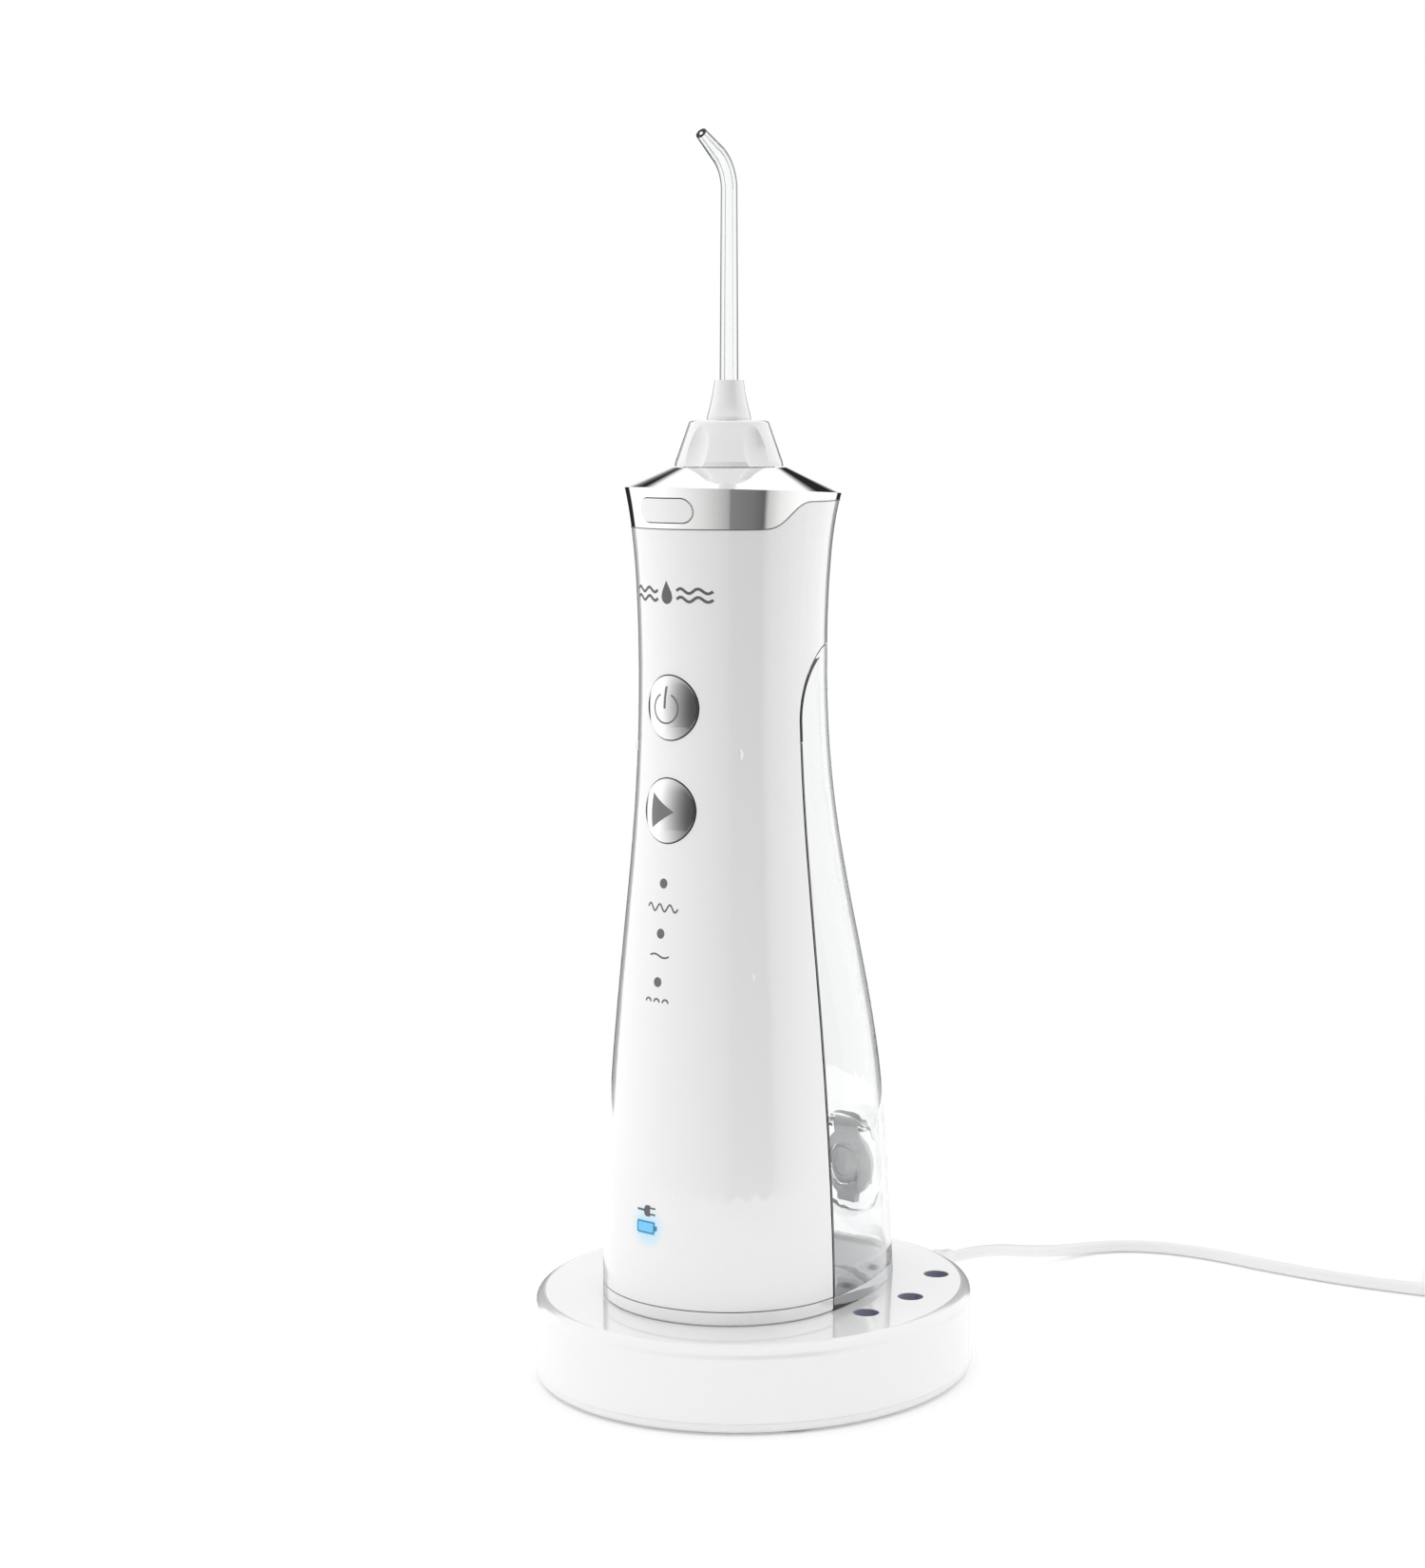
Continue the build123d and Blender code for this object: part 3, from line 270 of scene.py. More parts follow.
def tint_by(material, factor, colour):
    """Mix the finish's colour towards another by a factor socket."""
    nodes = material.node_tree.nodes
    link = material.node_tree.links.new
    base = nodes["Principled BSDF"].inputs["Base Color"]
    tint = nodes.new("ShaderNodeMix")
    tint.data_type = "RGBA"
    before, after, result = colour_sockets(tint)
    link(base.links[0].from_socket, before)
    after.default_value = (*colour, 1)
    link(factor, tint.inputs["Factor"])
    link(result, base)


def ramp_along(material, way, start, end):
    """A factor that goes from 0 to 1 between two places, in millimetres along a direction."""
    nodes = material.node_tree.nodes
    link = material.node_tree.links.new
    place = nodes.new("ShaderNodeTexCoord")
    along = nodes.new("ShaderNodeVectorMath")
    along.operation = "DOT_PRODUCT"
    along.inputs[1].default_value = way
    link(place.outputs["Object"], along.inputs[0])
    share = nodes.new("ShaderNodeMapRange")
    share.interpolation_type = "SMOOTHSTEP"
    share.inputs["From Min"].default_value = start * MM
    share.inputs["From Max"].default_value = end * MM
    link(along.outputs["Value"], share.inputs["Value"])
    return share.outputs["Result"]


def paint_edge_shade(material, start, end, colour):
    """Painted shade: clear plastic is tinted darker where it is seen edge on, standing in for the dark edges
    that refraction and reflection give there; start and end are between 0 and 1.
    """
    nodes = material.node_tree.nodes
    weight = nodes.new("ShaderNodeLayerWeight")
    weight.inputs["Blend"].default_value = 0.5
    share = nodes.new("ShaderNodeMapRange")
    share.inputs["From Min"].default_value = start
    share.inputs["From Max"].default_value = end
    material.node_tree.links.new(weight.outputs["Facing"], share.inputs["Value"])
    tint_by(material, share.outputs["Result"], colour)


def add_glow(material, centre, radius, colour, strength):
    """Blue light soaking through the shell round one spot."""
    nodes = material.node_tree.nodes
    link = material.node_tree.links.new
    shader = nodes["Principled BSDF"]
    place = nodes.new("ShaderNodeTexCoord")
    gap = nodes.new("ShaderNodeVectorMath")
    gap.operation = "DISTANCE"
    gap.inputs[1].default_value = centre
    link(place.outputs["Object"], gap.inputs[0])
    fall = nodes.new("ShaderNodeMapRange")
    fall.interpolation_type = "SMOOTHERSTEP"
    fall.inputs["From Min"].default_value = radius
    fall.inputs["From Max"].default_value = radius * 0.25
    link(gap.outputs["Value"], fall.inputs["Value"])
    tint_by(material, fall.outputs["Result"], colour)
    shader.inputs["Emission Color"].default_value = (*colour, 1)
    power = nodes.new("ShaderNodeMath")
    power.operation = "MULTIPLY"
    power.inputs[1].default_value = strength
    link(fall.outputs["Result"], power.inputs[0])
    link(power.outputs["Value"], shader.inputs["Emission Strength"])


WHITE = (0.90, 0.90, 0.903)
WHITE_LOW = (0.88, 0.88, 0.883)
# painted shade: the tone of the clear tank's outline where it is seen edge on
TANK_EDGE_PAINTED_SHADE = (0.50, 0.52, 0.54)
# painted shade: the tone of the tank's floor, where the gap beneath it lies in shadow
TANK_FLOOR_PAINTED_SHADE = (0.60, 0.61, 0.62)
# painted shade: the tone of the clear tip's outline where it is seen edge on
TIP_EDGE_PAINTED_SHADE = (0.01, 0.01, 0.012)
# painted reflections: two dark tones laid on the chrome buttons' colour
BUTTON_PAINTED_REFLECTION = (0.14, 0.14, 0.14)       # what the right of a chrome button reflects
BUTTON_RIM_PAINTED_REFLECTION = (0.03, 0.03, 0.03)        # what its left edge reflects
GLOW = (0.55, 0.80, 0.95)
GLOW_RADIUS = 6.5
GLOW_STRENGTH = 0.03
CLEAR_SHADE = (0.95, 0.95, 0.95, 1)    # how much of the room's light each clear surface lets through
GLOSSY = {"Coat_Weight": 1.0, "Coat_Roughness": 0.03, "Coat_IOR": 1.7, "Specular_IOR_Level": 0.8}


def plastic(name, light, dark, rough=(0.16, 0.22), grain=900, bump=0.004, **sockets):
    """Moulded plastic with a faint orange peel."""
    return finish(name, light, dark, rough, grain, bump, **sockets)


def clear(name, colour, ior, rough=(0.0, 0.03)):
    """Clear moulded plastic."""
    shade = tuple(value * 0.985 for value in colour)
    material = finish(name, colour, shade, rough, 240, 0.002, Transmission_Weight=1.0, IOR=ior)
    let_light_through(material)
    return material


def let_light_through(material):
    """The room's light reaches what lies behind clear plastic."""
    nodes = material.node_tree.nodes
    link = material.node_tree.links.new
    opening = nodes.new("ShaderNodeBsdfTransparent")
    opening.inputs["Color"].default_value = CLEAR_SHADE
    ray = nodes.new("ShaderNodeLightPath")
    choice = nodes.new("ShaderNodeMixShader")
    link(ray.outputs["Is Shadow Ray"], choice.inputs["Fac"])
    link(nodes["Principled BSDF"].outputs["BSDF"], choice.inputs[1])
    link(opening.outputs["BSDF"], choice.inputs[2])
    link(choice.outputs["Shader"], nodes["Material Output"].inputs["Surface"])


def metal(name, light, dark, rough, stretch=(1, 1, 1), grain=700, bump=0.002):
    """Bare or plated metal, brushed where the grain is stretched."""
    return finish(name, light, dark, rough, grain, bump, stretch, Metallic=1.0)


def all_finishes():
    """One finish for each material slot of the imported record."""
    brushed = (1, 1, 14)
    made = [
        plastic("white_shell", WHITE, WHITE_LOW, **GLOSSY),
        plastic("base_plate", WHITE, WHITE_LOW, rough=(0.3, 0.4), grain=1500),
        plastic("rubber_feet", (0.52, 0.53, 0.54), (0.46, 0.47, 0.48), rough=(0.6, 0.75), grain=2200,
                bump=0.02),
        plastic("well_liner", (0.17, 0.175, 0.26), (0.14, 0.145, 0.22), rough=(0.3, 0.42)),
        metal("steel", (0.62, 0.63, 0.65), (0.5, 0.51, 0.53), (0.2, 0.34), brushed),
        metal("copper", (0.72, 0.34, 0.16), (0.6, 0.27, 0.12), (0.28, 0.4), brushed, bump=0.05),
        plastic("ferrite", (0.06, 0.06, 0.065), (0.04, 0.04, 0.045), rough=(0.5, 0.65), bump=0.03),
        plastic("board", (0.03, 0.2, 0.09), (0.02, 0.15, 0.07), rough=(0.3, 0.4), grain=600),
        plastic("cord", WHITE, WHITE_LOW, rough=(0.3, 0.38), grain=1400, bump=0.008),
        plastic("plug", WHITE, WHITE_LOW, rough=(0.28, 0.38), grain=1400, bump=0.008),
        metal("blades", (0.75, 0.71, 0.6), (0.62, 0.58, 0.48), (0.18, 0.3), brushed),
        metal("chrome", (0.93, 0.925, 0.92), (0.9, 0.895, 0.89), (0.015, 0.03), bump=0.0002),
        metal("button_chrome", (0.9, 0.9, 0.9), (0.86, 0.86, 0.86), (0.05, 0.08), bump=0.0004),
        plastic("release_pill", WHITE, WHITE_LOW, **GLOSSY),
        clear("clear_tank", (0.955, 0.96, 0.963), 1.47),
        clear("clear_tip", (0.985, 0.99, 0.992), 1.46, rough=(0.0, 0.01)),
        clear("clear_hose", (0.92, 0.94, 0.95), 1.41, rough=(0.2, 0.3)),
        plastic("silicone", (0.78, 0.8, 0.82), (0.7, 0.72, 0.74), rough=(0.45, 0.6), bump=0.01,
                Transmission_Weight=0.35, IOR=1.41),
        plastic("port_cap", (0.93, 0.94, 0.945), (0.90, 0.91, 0.915), rough=(0.3, 0.42), bump=0.006,
                Transmission_Weight=0.35, IOR=1.42),
        plastic("filter", WHITE, WHITE_LOW, rough=(0.35, 0.45)),
        plastic("lens_grey", (0.16, 0.16, 0.165), (0.12, 0.12, 0.125), rough=(0.12, 0.2)),
        plastic("lens_blue", (0.55, 0.82, 1.0), (0.5, 0.78, 0.98), rough=(0.12, 0.2),
                Emission_Color=(0.30, 0.68, 1.0, 1), Emission_Strength=0.25),
        plastic("switch", (0.03, 0.03, 0.033), (0.02, 0.02, 0.022), rough=(0.35, 0.5)),
        plastic("led", (0.9, 0.86, 0.62), (0.82, 0.78, 0.55), rough=(0.1, 0.2), Transmission_Weight=0.4),
        plastic("cell", (0.05, 0.16, 0.42), (0.04, 0.13, 0.36), rough=(0.22, 0.3), grain=500, bump=0.01),
        metal("motor_steel", (0.66, 0.67, 0.68), (0.56, 0.57, 0.58), (0.22, 0.36), brushed),
        plastic("gear_plastic", (0.82, 0.79, 0.7), (0.76, 0.73, 0.64), rough=(0.38, 0.5)),
        metal("brass", (0.8, 0.58, 0.25), (0.7, 0.5, 0.2), (0.2, 0.32), brushed),
        plastic("pump_plastic", (0.76, 0.79, 0.82), (0.7, 0.73, 0.76), rough=(0.35, 0.48)),
    ]
    finishes = {material.name.partition(".")[0]: material for material in made}
    tank = finishes["clear_tank"]
    # painted shade: dark outlines where the clear tank and tip are seen edge on
    paint_edge_shade(tank, 0.72, 1.0, TANK_EDGE_PAINTED_SHADE)
    paint_edge_shade(finishes["clear_tip"], 0.28, 0.62, TIP_EDGE_PAINTED_SHADE)
    # painted shade: the tank's floor and the lowest of its walls are tinted grey, standing in for the shadow
    # in the gap beneath it
    tint_by(tank, ramp_along(tank, (0, 0, 1), TANK_FLOOR_Z + TANK_FLOOR_FADE, TANK_FLOOR_Z), TANK_FLOOR_PAINTED_SHADE)
    button = finishes["button_chrome"]
    # painted reflection: the button's chrome darkens towards its right and at its left rim, where it would
    # reflect the dark room
    tint_by(button, ramp_along(button, (1, 0, 0), -2.5, 7.5), BUTTON_PAINTED_REFLECTION)
    tint_by(button, ramp_along(button, (1, 0, 0), -5.6, -7.2), BUTTON_RIM_PAINTED_REFLECTION)
    return finishes


def extra_finishes():
    """Finishes of the added marks and the lit shell, which share their slot with a CAD piece."""
    # the dark print colour, also used for the painted shade in the collar's seam
    ink = plastic("ink", (0.13, 0.13, 0.135), (0.10, 0.10, 0.105), rough=(0.4, 0.5))
    ink_grey = plastic("ink_grey", (0.19, 0.19, 0.19), (0.15, 0.15, 0.15), rough=(0.3, 0.4))
    blue = plastic("icon_blue", (0.16, 0.50, 0.80), (0.14, 0.47, 0.77), rough=(0.2, 0.3),
                   Emission_Color=(0.16, 0.50, 0.85, 1), Emission_Strength=0.25)
    deep = plastic("icon_deep_blue", (0.03, 0.24, 0.38), (0.025, 0.21, 0.34), rough=(0.3, 0.4))
    lit = plastic("white_shell_lit", WHITE, WHITE_LOW, **GLOSSY)
    return {"ink": ink, "ink_grey": ink_grey, "blue": blue, "deep_blue": deep, "lit": lit}


def dress_cad_nodes():
    """Every CAD node takes the finish of its own slot."""
    for subpart in frame["record"]["subparts"]:
        node = cad[subpart["node"]]
        slot_finish = finishes[subpart["material_slot"]]
        if node.material_slots:
            for material_slot in node.material_slots:
                material_slot.material = slot_finish
        else:
            node.data.materials.append(slot_finish)


def repaint(piece, material):
    """Give a piece another look without changing its slot."""
    for material_slot in piece.material_slots:
        material_slot.material = material


# ---- camera, floor and light ----------------------------------------------------------
def make_camera():
    lens = bpy.data.cameras.new("camera")
    lens.lens = LENS_MM
    lens.sensor_width = SENSOR_MM
    lens.clip_start = 0.01
    camera = bpy.data.objects.new("camera", lens)
    camera.location = CAMERA_AT
    camera.rotation_euler = (math.pi / 2 - CAMERA_PITCH, 0, CAMERA_TURN)
    bpy.context.scene.collection.objects.link(camera)
    bpy.context.scene.camera = camera


def make_floor(radius=0.36, segments=128):
    """A pale flat round floor, with a faint glow of its own so that it reads white."""
    edge = []
    for step in range(segments):
        angle = 2 * math.pi * step / segments
        edge.append((radius * math.cos(angle), radius * math.sin(angle), 0))
    mesh = bpy.data.meshes.new("floor")
    mesh.from_pydata(edge, [], [tuple(range(segments))])
    floor = bpy.data.objects.new("floor", mesh)
    bpy.context.scene.collection.objects.link(floor)
    paper = finish("floor_paper", (0.97, 0.97, 0.97), (0.96, 0.96, 0.96), (0.8, 0.9), 60, 0.001,
                   Specular_IOR_Level=0.0, Emission_Color=(1, 1, 1, 1), Emission_Strength=0.12)
    mesh.materials.append(paper)


# brightness round the room, by the angle in degrees from the camera's side, positive to its right
ROOM = [
    (-180, 0.9), (-174, 0.9), (-171, 0.02), (-148, 0.02), (-144, 1.05), (-90, 1.05), (-66, 0.90),
    (-31, 0.68), (-12, 0.50), (-1.5, 0.38), (1.5, 0.21), (27, 0.17), (41, 0.12), (46, 0.54), (62, 0.80),
    (90, 1.0), (148, 1.05), (152, 0.02), (171, 0.02), (174, 0.9), (180, 0.9),
]
ROOM_STRENGTH = 1.12
ROOM_TOP = (0.40, 0.52)     # the sine of the elevation where the pattern gives way to the white ceiling


def grey(value):
    """An opaque grey as four channels."""
    return (value, value, value, 1)


def make_room():
    """A white studio with a dark panel right of the camera and dark cards behind the object."""
    world = bpy.data.worlds.new("studio")
    world.use_nodes = True
    bpy.context.scene.world = world
    nodes = world.node_tree.nodes
    link = world.node_tree.links.new
    nodes.clear()
    way = nodes.new("ShaderNodeTexCoord")
    to_camera = Vector((math.sin(CAMERA_TURN), -math.cos(CAMERA_TURN), 0))
    to_right = Vector((math.cos(CAMERA_TURN), math.sin(CAMERA_TURN), 0))
    parts = []
    for direction in (to_right, to_camera, Vector((0, 0, 1))):
        dot = nodes.new("ShaderNodeVectorMath")
        dot.operation = "DOT_PRODUCT"
        dot.inputs[1].default_value = direction
        link(way.outputs["Generated"], dot.inputs[0])
        parts.append(dot)
    angle = nodes.new("ShaderNodeMath")
    angle.operation = "ARCTAN2"
    link(parts[0].outputs["Value"], angle.inputs[0])
    link(parts[1].outputs["Value"], angle.inputs[1])
    share = nodes.new("ShaderNodeMath")
    share.operation = "MULTIPLY_ADD"
    share.inputs[1].default_value = 1 / (2 * math.pi)
    share.inputs[2].default_value = 0.5
    link(angle.outputs["Value"], share.inputs[0])
    ramp = nodes.new("ShaderNodeValToRGB")
    stops = ramp.color_ramp.elements
    stops[0].color = grey(ROOM[0][1])
    stops[1].color = grey(ROOM[-1][1])
    for degrees, value in ROOM[1:-1]:
        stops.new(degrees / 360 + 0.5).color = grey(value)
    link(share.outputs["Value"], ramp.inputs["Fac"])
    rise = nodes.new("ShaderNodeMapRange")
    rise.interpolation_type = "SMOOTHSTEP"
    rise.inputs["From Min"].default_value = ROOM_TOP[0]
    rise.inputs["From Max"].default_value = ROOM_TOP[1]
    link(parts[2].outputs["Value"], rise.inputs["Value"])
    mixed = nodes.new("ShaderNodeMix")
    mixed.data_type = "RGBA"
    walls, ceiling, mixed_out = colour_sockets(mixed)
    ceiling.default_value = (1, 1, 1, 1)
    link(rise.outputs["Result"], mixed.inputs["Factor"])
    link(ramp.outputs["Color"], walls)
    lit = nodes.new("ShaderNodeBackground")
    lit.inputs["Strength"].default_value = ROOM_STRENGTH
    link(mixed_out, lit.inputs["Color"])
    seen = nodes.new("ShaderNodeBackground")
    seen.inputs["Color"].default_value = (1, 1, 1, 1)
    seen.inputs["Strength"].default_value = 1.0
    ray = nodes.new("ShaderNodeLightPath")
    either = nodes.new("ShaderNodeMath")
    either.operation = "MAXIMUM"
    link(ray.outputs["Is Camera Ray"], either.inputs[0])
    link(ray.outputs["Is Transmission Ray"], either.inputs[1])
    choice = nodes.new("ShaderNodeMixShader")
    link(either.outputs["Value"], choice.inputs["Fac"])
    link(lit.outputs["Background"], choice.inputs[1])
    link(seen.outputs["Background"], choice.inputs[2])
    out = nodes.new("ShaderNodeOutputWorld")
    link(choice.outputs["Shader"], out.inputs["Surface"])
    bpy.context.scene.view_settings.view_transform = "Standard"


# ---- cord ---------------------------------------------------------------------------
def relief_place():
    """From the strain relief's own line, along +Z, to its place in the base's back."""
    lean = Matrix.Rotation(-RELIEF_TURN, 4, "Z") @ Matrix.Rotation(-math.pi / 2, 4, "X")
    return Matrix.Translation(Vector(RELIEF_START) * MM) @ lean


def coil_points():
    """Seven turns: outside to inside on the floor, back out on top, and one more above."""
    outer, middle, inner = TURN_RADII
    low, second, top = LAYERS
    turns = [(outer, low), (middle, low), (inner, low),
             (inner, second), (middle, second), (outer, second), (outer, top)]
    # the smooth curve runs at this share of its control points' distance from the coil's centre
    bulge = 0.75 + 0.25 * math.cos(2 * math.pi / TURN_POINTS)
    points = []
    for number, (radius, height) in enumerate(turns):
        last = number + 1 == len(turns)
        next_radius, next_height = turns[number] if last else turns[number + 1]
        for step in range(TURN_POINTS + 2 if last else TURN_POINTS):
            run = min(max((step - CHANGES[number]) / CHANGE_POINTS, 0), 1)
            share = 0.5 - 0.5 * math.cos(math.pi * run)
            angle = COIL_START + 2 * math.pi * step / TURN_POINTS
            reach = (radius + (next_radius - radius) * share) / bulge
            x = COIL_CENTRE[0] + reach * math.cos(angle)
            y = COIL_CENTRE[1] + reach * math.sin(angle)
            points.append((x, y, height + (next_height - height) * share))
    return points


def cord_route():
    """Every control point, from inside the strain relief to the plug."""
    end = relief_place() @ Vector((0, 0, RELIEF_LENGTH * MM)) / MM
    inside = relief_place() @ Vector((0, 0, (RELIEF_LENGTH - 4) * MM)) / MM
    x, y, z = PLUG_LEAD
    along = (math.sin(PLUG_TURN), math.cos(PLUG_TURN))
    tail = [(x - along[0] * run, y - along[1] * run, z + rise) for run, rise in ((17, 1.3), (8, 0.5), (0, 0))]
    return [tuple(inside), tuple(end)] + ROUTE + coil_points() + tail


def make_cord():
    """The mains lead as one smooth NURBS tube."""
    curve = bpy.data.curves.new("mains_lead", "CURVE")
    curve.dimensions = "3D"
    curve.bevel_depth = CORD_DIAMETER / 2 * MM
    curve.bevel_resolution = 6
    curve.resolution_u = 6
    curve.use_fill_caps = True
    route = cord_route()
    spline = curve.splines.new("NURBS")
    spline.points.add(len(route) - 1)
    for point, (x, y, z) in zip(spline.points, route):
        point.co = (x * MM, y * MM, z * MM, 1)
    spline.order_u = 3
    spline.use_endpoint_u = True
    cord = bpy.data.objects.new("mains_lead", curve)
    bpy.context.scene.collection.objects.link(cord)
    curve.materials.append(finishes["cord"])
    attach(cord, "charging_base")
    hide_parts("power_cord", "cord_coil")
    return cord


def make_strain_relief():
    """A tapered sleeve with soft ribs."""
    profile = [(0.01, 0.0), (4.4, 0.0), (4.6, 0.2), (4.6, 1.4), (4.4, 1.6), (3.5, 1.6), (3.5, 6.2)]
    for step in range(5):
        height = 7.6 + step * 3.2
        radius = 3.5 - 0.2 * step
        profile += [(radius, height - 0.9), (radius + 0.35, height - 0.6), (radius + 0.5, height),
                    (radius + 0.35, height + 0.6), (radius, height + 0.9)]
    profile += [(2.5, RELIEF_LENGTH - 1.0), (2.35, RELIEF_LENGTH - 0.2), (2.1, RELIEF_LENGTH),
                (0.01, RELIEF_LENGTH)]
    points, faces = lathe(profile, relief_place())
    relief = mesh_piece("strain_relief", points, faces, "charging_base", "cord")
    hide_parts("cord_strain_relief")
    return relief


def make_cord_tie(direction=math.radians(140), width=6.0, thick=0.5):
    """A soft strap round the coil's section that holds the turns together."""
    skin = CORD_DIAMETER / 2 + 0.1
    inner, outer = TURN_RADII[2], TURN_RADII[0]
    low, second, top = LAYERS
    corners = [(inner, low), (outer, low), (outer, top), (inner, second)]
    outline = []
    count = len(corners)
    for step, (radius, height) in enumerate(corners):
        before = corners[step - 1]
        after = corners[(step + 1) % count]
        start = math.atan2(height - before[1], radius - before[0]) - math.pi / 2
        end = math.atan2(after[1] - height, after[0] - radius) - math.pi / 2
        while end < start:
            end += 2 * math.pi
        for share in range(7):
            turn = start + (end - start) * share / 6
            outline.append((radius, height, math.cos(turn), math.sin(turn)))
    across = Vector((-math.sin(direction), math.cos(direction), 0))
    outwards = Vector((math.cos(direction), math.sin(direction), 0))
    centre = Vector((COIL_CENTRE[0], COIL_CENTRE[1], 0))
    rings = [(-width / 2, skin), (-width / 2 + 0.2, skin + thick), (width / 2 - 0.2, skin + thick),
             (width / 2, skin)]
    points = []
    for radius, height, step_out, step_up in outline:
        for side, gap in rings:
            spot = centre + outwards * (radius + step_out * gap) + across * side
            spot.z = max(height + step_up * gap, 0.05)
            points.append(spot * MM)
    faces = []
    rows, columns = len(outline), len(rings)
    for row in range(rows):
        for column in range(columns):
            here = row * columns + column
            beside = row * columns + (column + 1) % columns
            after = ((row + 1) % rows) * columns
            faces.append((here, beside, after + (column + 1) % columns, after + column))
    return mesh_piece("cord_tie", points, faces, "charging_base", "silicone")


# ---- buttons ------------------------------------------------------------------------
def make_button(name, height, segments=96):
    """A domed chrome disc with a rounded edge, a flat back and a stem; gives its front surface."""
    surface = front_of(f"{name}_button")
    shares = [0.02, 0.12, 0.24, 0.36, 0.48, 0.6, 0.72, 0.82, 0.9, BUTTON_FLAT]
    rings = [(BUTTON_RADIUS * share, 0.0) for share in shares]
    reach = BUTTON_RADIUS * BUTTON_FLAT
    for turn in range(1, 7):
        angle = math.radians(15 * turn)
        radius = reach + (BUTTON_RADIUS - reach) * math.sin(angle)
        rings.append((radius, BUTTON_EDGE * (1 - math.cos(angle))))
    back = surface(0, height) + BUTTON_BACK * MM
    stem_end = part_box(f"{name}_button")[1].y

    def skin(x, z):
        off = math.hypot(x, z - height)
        shrink = min(1.0, reach / off) if off else 1.0
        dome = BUTTON_DOME * (1 - min(off / BUTTON_RADIUS, 1.0) ** 2)
        return surface(x * shrink, height + (z - height) * shrink) - dome * MM

    points = []
    for radius, drop in rings:
        for step in range(segments):
            angle = 2 * math.pi * step / segments
            x, z = radius * math.cos(angle), height + radius * math.sin(angle)
            points.append((x * MM, skin(x, z) + drop * MM, z * MM))
    for radius, depth in ((BUTTON_RADIUS, back), (STEM_RADIUS, back), (STEM_RADIUS, stem_end)):
        for step in range(segments):
            angle = 2 * math.pi * step / segments
            points.append((radius * math.cos(angle) * MM, depth, (height + radius * math.sin(angle)) * MM))
    rows = len(rings) + 3
    faces = [tuple(range(segments))]
    for row in range(rows - 1):
        for step in range(segments):
            here = row * segments + step
            beside = row * segments + (step + 1) % segments
            faces.append((here, here + segments, beside + segments, beside))
    last = (rows - 1) * segments
    faces.append(tuple(last + segments - 1 - step for step in range(segments)))
    button = mesh_piece(f"{name}_button_cap", points, faces, f"{name}_key", "button_chrome")
    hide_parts(f"{name}_button")
    return skin


def make_button_marks(skins):
    """A power sign on the upper button and a start triangle on the lower one, laid on their skins."""
    high = BUTTONS["power"]
    ring = line_strip(arc_path((0, high), 3.6, 117, 423, 60), 0.42)
    bar = line_strip([(0, high + 5.2 - 0.35 * step) for step in range(16)], 0.62)
    sign = inked("power_sign", [ring, bar], skins["power"], "power_key", "button_chrome")
    repaint(sign, extras["ink_grey"])
    low = BUTTONS["mode"]
    rows = []
    for step in range(25):
        share = step / 24
        half = 4.2 * (1 - share)
        rows.append([(-3.7 + 7.0 * share, low + half * side) for side in (-1, -0.5, 0, 0.5, 1)])
    start = inked("start_sign", [rows], skins["mode"], "mode_key", "button_chrome")
    repaint(start, extras["ink_grey"])


# ---- painted seam shade, wells and the latch spring -------------------------------------
def seam_points(node, low, count=180):
    """Places on a shell's outside along its lower edge, one for each direction from the handle's axis."""
    tree = rays_onto(node)

    def hit(way, z):
        spot = tree.ray_cast(AXIS + way * 100 * MM + Vector((0, 0, z * MM)), -way)[0]
        return spot if spot and (spot - AXIS).dot(way) > 0 else None

    points = []
    for step in range(count):
        angle = 2 * math.pi * step / count
        way = Vector((math.cos(angle), math.sin(angle), 0))
        z = low
        spot = hit(way, z)
        while not spot:
            z += SEAM_STEP
            spot = hit(way, z)
        points.append(spot)
    return points


def make_seam_shade_bead(name, points, body, width=0.26):
    """Painted shade: a fine dark bead in the joint between two shells, standing in for the shadow in the gap
    between them.
    """
    curve = bpy.data.curves.new(name, "CURVE")
    curve.dimensions = "3D"
    curve.bevel_depth = width / 2 * MM
    curve.bevel_resolution = 2
    spline = curve.splines.new("POLY")
    spline.points.add(len(points) - 1)
    for place, point in zip(spline.points, points):
        place.co = (*point, 1)
    spline.use_cyclic_u = True
    seam = bpy.data.objects.new(name, curve)
    bpy.context.scene.collection.objects.link(seam)
    # the dark print colour, used here as painted shade
    curve.materials.append(extras["ink"])
    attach(seam, body)


def make_well_sleeves():
    """Thin blue-grey cups that line the three wells up to the base's top."""
    for number, (x, y) in enumerate(WELLS):
        radius = WELL_RADIUS - 0.04
        profile = [(0.01, WELL_FLOOR), (radius, WELL_FLOOR), (radius, WELL_TOP - 0.06),
                   (radius - 0.06, WELL_TOP), (radius - 0.22, WELL_TOP - 0.06),
                   (radius - 0.3, WELL_FLOOR + 0.8), (0.01, WELL_FLOOR + 0.6)]
        points, faces = lathe(profile, Matrix.Translation(Vector((x, y, 0)) * MM))
        mesh_piece(f"well_sleeve_{number + 1}", points, faces, "charging_base", "well_liner")


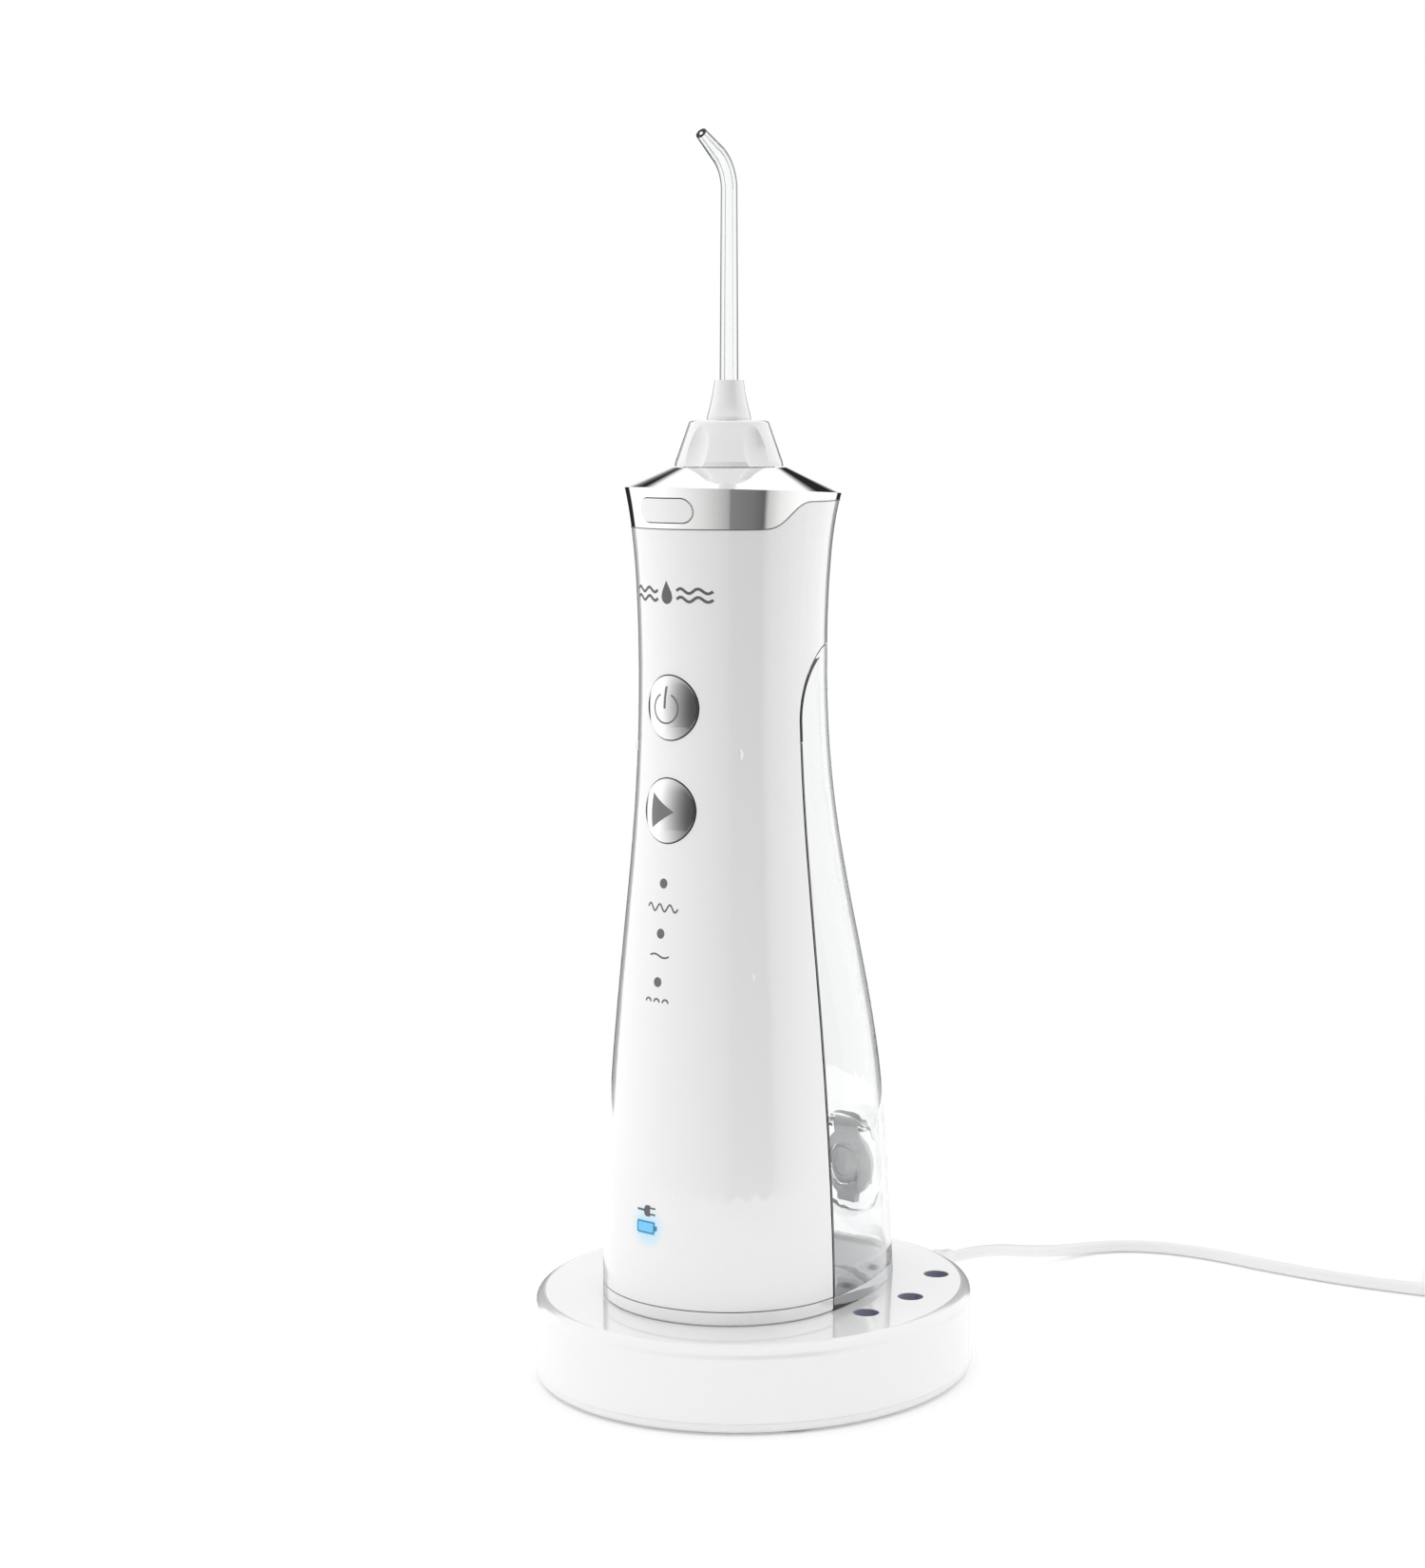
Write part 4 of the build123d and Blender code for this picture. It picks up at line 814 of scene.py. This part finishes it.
def make_latch_spring(turns=7, steps=16, sides=10, wire=0.28):
    """The coil spring behind the latch plate, built at rest within the spring part's box."""
    low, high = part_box("release_spring")
    middle = (low + high) / 2
    reach = (high.x - low.x) / 2 - wire * MM
    length = high.y - low.y - 2 * wire * MM
    count = turns * steps + 1
    points = []
    for step in range(count):
        angle = 2 * math.pi * step / steps
        outwards = Vector((math.cos(angle), 0, math.sin(angle)))
        y = low.y + wire * MM + length * step / (count - 1)
        centre = Vector((middle.x, y, middle.z)) + outwards * reach
        for side in range(sides):
            turn = 2 * math.pi * side / sides
            skin = outwards * math.cos(turn) + Vector((0, math.sin(turn), 0))
            points.append(centre + skin * wire * MM)
    faces = [tuple(reversed(range(sides)))]
    for row in range(count - 1):
        for side in range(sides):
            here = row * sides + side
            beside = row * sides + (side + 1) % sides
            faces.append((here, beside, beside + sides, here + sides))
    faces.append(tuple((count - 1) * sides + side for side in range(sides)))
    spring = mesh_piece("latch_spring", points, faces, "handle", "steel")
    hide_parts("release_spring")
    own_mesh(spring)


# ---- printed marks --------------------------------------------------------------------
def emblem_strips():
    """A water drop between two pairs of ripples."""
    drop = []
    for step in range(25):
        share = step / 24
        half = 1.75 * math.sin(math.pi * share ** 0.62) * (1 - 0.15 * share)
        drop.append((EMBLEM_Z - 2.6 + 5.6 * share, -half - 0.6, half - 0.6))
    strips = [filled_strip(drop)]
    for rise in (-1.3, 0.7):
        strips.append(line_strip(wave_path(-12.5, -3.6, EMBLEM_Z + rise, 0.55, 2), 0.7))
        strips.append(line_strip(wave_path(2.4, 11.3, EMBLEM_Z + rise, 0.55, 2), 0.7))
    return strips


def mode_strips():
    """Three spray marks: a full wave, a gentle one and a broken one."""
    full, gentle, broken = MODE_MARKS_Z
    strips = [line_strip(wave_path(-4.6, 4.6, full, 0.85, 3, 72), 0.42)]
    strips.append(line_strip(wave_path(-2.9, 2.9, gentle, 0.4, 1, 32), 0.42))
    for middle in (-2.6, 0.0, 2.6):
        strips.append(line_strip(arc_path((middle, broken - 0.4), 0.8, 180, 0, 12), 0.42))
    return strips


def plug_strips():
    """A small plug lying on its side."""
    z = PLUG_MARK_Z
    body = [(z - 1.35, -0.3, 0.9), (z - 1.0, -0.75, 0.9), (z, -1.05, 0.9), (z + 1.0, -0.75, 0.9),
            (z + 1.35, -0.3, 0.9)]
    strips = [filled_strip(body, 5)]
    for rise in (-0.75, 0.75):
        strips.append(line_strip([(0.9 + 0.4 * step, z + rise) for step in range(5)], 0.42))
    strips.append(line_strip([(-3.1 + 0.45 * step, z + 0.1) for step in range(6)], 0.5))
    return strips


def battery_strips():
    """The battery sign's outline with its end cap, and the lit field inside it."""
    z = BATTERY_MARK_Z
    left, right, half, width = -2.9, 2.2, 1.3, 0.34
    across = [left + (right - left) * step / 12 for step in range(13)]
    up = [z - half + 2 * half * step / 6 for step in range(7)]
    cap = [(z + rise, right, right + 0.85) for rise in (-0.55, 0, 0.55)]
    edges = [
        line_strip([(x, z + half) for x in across], width),
        line_strip([(x, z - half) for x in across], width),
        line_strip([(left, height) for height in up], width),
        line_strip([(right, height) for height in up], width),
        filled_strip(cap, 3),
    ]
    field = filled_strip([(height, left, right) for height in up])
    return edges, [field]


def make_marks():
    """The marks printed on the handle's front."""
    surface = front_of("front_housing")

    def even_surface(x, z):
        """The shell's surface, bridged over the charge window."""
        low = surface(x, BATTERY_MARK_Z - WINDOW_REACH)
        high = surface(x, BATTERY_MARK_Z + WINDOW_REACH)
        share = (z - BATTERY_MARK_Z + WINDOW_REACH) / (2 * WINDOW_REACH)
        return min(low + (high - low) * share, surface(x, z)) - 0.05 * MM

    def outline_surface(x, z):
        """A little proud of the lit field, so that the outline covers its edge."""
        return even_surface(x, z) - 0.02 * MM

    repaint(inked("emblem", emblem_strips(), surface, "handle", "lens_grey"), extras["ink"])
    repaint(inked("mode_marks", mode_strips(), surface, "handle", "lens_grey"), extras["ink"])
    repaint(inked("plug_mark", plug_strips(), surface, "handle", "lens_grey"), extras["ink"])
    edges, field = battery_strips()
    repaint(inked("battery_field", field, even_surface, "handle", "lens_blue"), extras["blue"])
    outline = inked("battery_outline", edges, outline_surface, "handle", "lens_blue")
    repaint(outline, extras["deep_blue"])


# ---- build ----------------------------------------------------------------------------
cad = frame["nodes"]
finishes = all_finishes()
extras = extra_finishes()
make_camera()
make_room()
make_floor()
dress_cad_nodes()

relief = make_strain_relief()
cord = make_cord()
tie = make_cord_tie()

# painted shade: a dark bead along the chrome collar's lower edge stands in for the shadow in the gap
make_seam_shade_bead("collar_seam_shade", seam_points("chrome_collar", COLLAR_SEAM), "handle")
make_well_sleeves()
make_latch_spring()
skins = {name: make_button(name, height) for name, height in BUTTONS.items()}
make_button_marks(skins)
make_marks()
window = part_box("charge_lens")
glow_at = (0, window[0].y, BATTERY_MARK_Z * MM)
add_glow(extras["lit"], glow_at, GLOW_RADIUS * MM, GLOW, GLOW_STRENGTH)
repaint(cad["front_housing"], extras["lit"])
